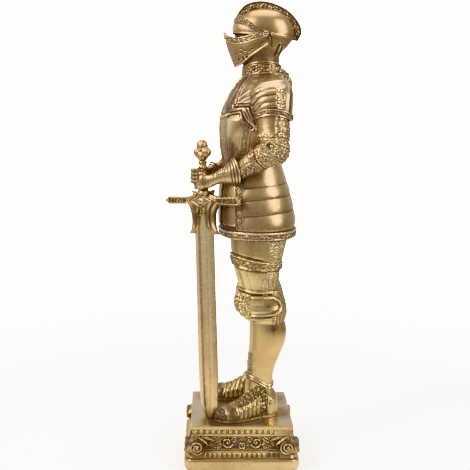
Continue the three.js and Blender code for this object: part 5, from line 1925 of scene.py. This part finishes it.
# Floor, light and camera. The floor is a disc that fades out, so nothing shows where it ends
floor_finish = Finish("floor white")
cloud = floor_finish.noise(3, 2)
place = floor_finish.node("ShaderNodeTexCoord", output=3)
from_middle = floor_finish.node("ShaderNodeVectorMath", {"operation": "LENGTH"}, {0: place}, 1)
tone = floor_finish.mix(cloud.over(0.2, 0.8), (0.93, 0.93, 0.93, 1), (0.915, 0.915, 0.915, 1))
floor_finish.set(Base_Color=tone, Roughness=0.6, Alpha=1 - from_middle.over(0.24, 0.5))
floor_finish.set(Emission_Color=(1, 1, 1, 1), Emission_Strength=0.08)
floor_radius = 0.65
spokes = [(floor_radius * math.cos(t), floor_radius * math.sin(t), 0) for t in round_angles(64)]
floor_mesh = bpy.data.meshes.new("floor")
floor_mesh.from_pydata(spokes, [], [tuple(range(len(spokes)))])
floor_mesh.materials.append(floor_finish.material)
floor = bpy.data.objects.new("floor", floor_mesh)
bpy.context.scene.collection.objects.link(floor)


def studio_world():
    """A white backdrop, in a room that is brighter overhead, on the far side and before the knight."""
    world = bpy.data.worlds.new("studio")
    world.use_nodes = True
    room = Wiring(world.node_tree)
    shade = next(n for n in world.node_tree.nodes if n.type == "BACKGROUND")
    way = room.node("ShaderNodeTexCoord")
    x, y, z = (room.node("ShaderNodeSeparateXYZ", {}, {0: way}, k) for k in range(3))
    seen = room.node("ShaderNodeLightPath")
    overhead = z.over(-0.1, 0.9) * 0.42
    far_side = (-x).over(0.1, 0.9) * (1 - z.over(0.15, 0.6)) * 0.6
    before = (-y).over(0.1, 0.95) * 0.45
    glow = (0.37 + overhead + far_side + before) * (0.55 + z.over(-0.5, 0.1) * 0.45)
    backdrop = 5
    room.feed(shade.inputs["Strength"], glow * (1 - seen) + seen * backdrop)
    room.feed(shade.inputs["Color"], (1, 0.99, 0.975, 1))
    bpy.context.scene.world = world


def soft_light(name, turn, rise, distance, size, power, aim=0.15):
    """A softbox: turn is degrees from the camera towards the statue's back, rise is degrees up."""
    light = bpy.data.lights.new(name, "AREA")
    light.shape = "RECTANGLE"
    light.size, light.size_y = size
    light.energy = power
    lamp = bpy.data.objects.new(name, light)
    turn, rise = math.radians(turn), math.radians(rise)
    level = math.cos(rise)
    offset = Vector((level * math.cos(turn), level * math.sin(turn), math.sin(rise))) * distance
    lamp.location = offset + Vector((0, 0, aim))
    lamp.rotation_euler = (-offset).to_track_quat("-Z", "Y").to_euler()
    bpy.context.scene.collection.objects.link(lamp)


studio_world()
soft_light("key", -58, 36, 0.62, (0.26, 0.34), 5.1, 0.2)
soft_light("fill", 56, 24, 0.7, (0.2, 0.46), 4.2, 0.2)
soft_light("top", 170, 78, 1.0, (0.7, 0.7), 6)
bpy.context.scene.view_settings.view_transform = "Khronos PBR Neutral"

# The photograph's viewpoint: from the knight's left, a little above the waist, looking down slightly
image_size, focal_pixels = 470, 850.0
look_turn, look_down, look_roll = (math.radians(v) for v in (2.11, 9.10, 0.90))
view_place = Vector((554.7, -25.9, 238.4)) * MM
level_forward = Vector((-math.cos(look_turn), math.sin(look_turn), 0))
level_right = Vector((math.sin(look_turn), math.cos(look_turn), 0))
up = Vector((0, 0, 1))
forward = level_forward * math.cos(look_down) - up * math.sin(look_down)
upward = up * math.cos(look_down) + level_forward * math.sin(look_down)
right = level_right * math.cos(look_roll) + upward * math.sin(look_roll)
above = upward * math.cos(look_roll) - level_right * math.sin(look_roll)
lens = bpy.data.cameras.new("camera")
lens.sensor_width = 36
lens.lens = focal_pixels / image_size * lens.sensor_width
lens.clip_start, lens.clip_end = 0.01, 20
viewer = bpy.data.objects.new("camera", lens)
viewer.matrix_world = Matrix((
    (right.x, above.x, -forward.x, view_place.x),
    (right.y, above.y, -forward.y, view_place.y),
    (right.z, above.z, -forward.z, view_place.z),
    (0, 0, 0, 1),
))
bpy.context.scene.collection.objects.link(viewer)
bpy.context.scene.camera = viewer
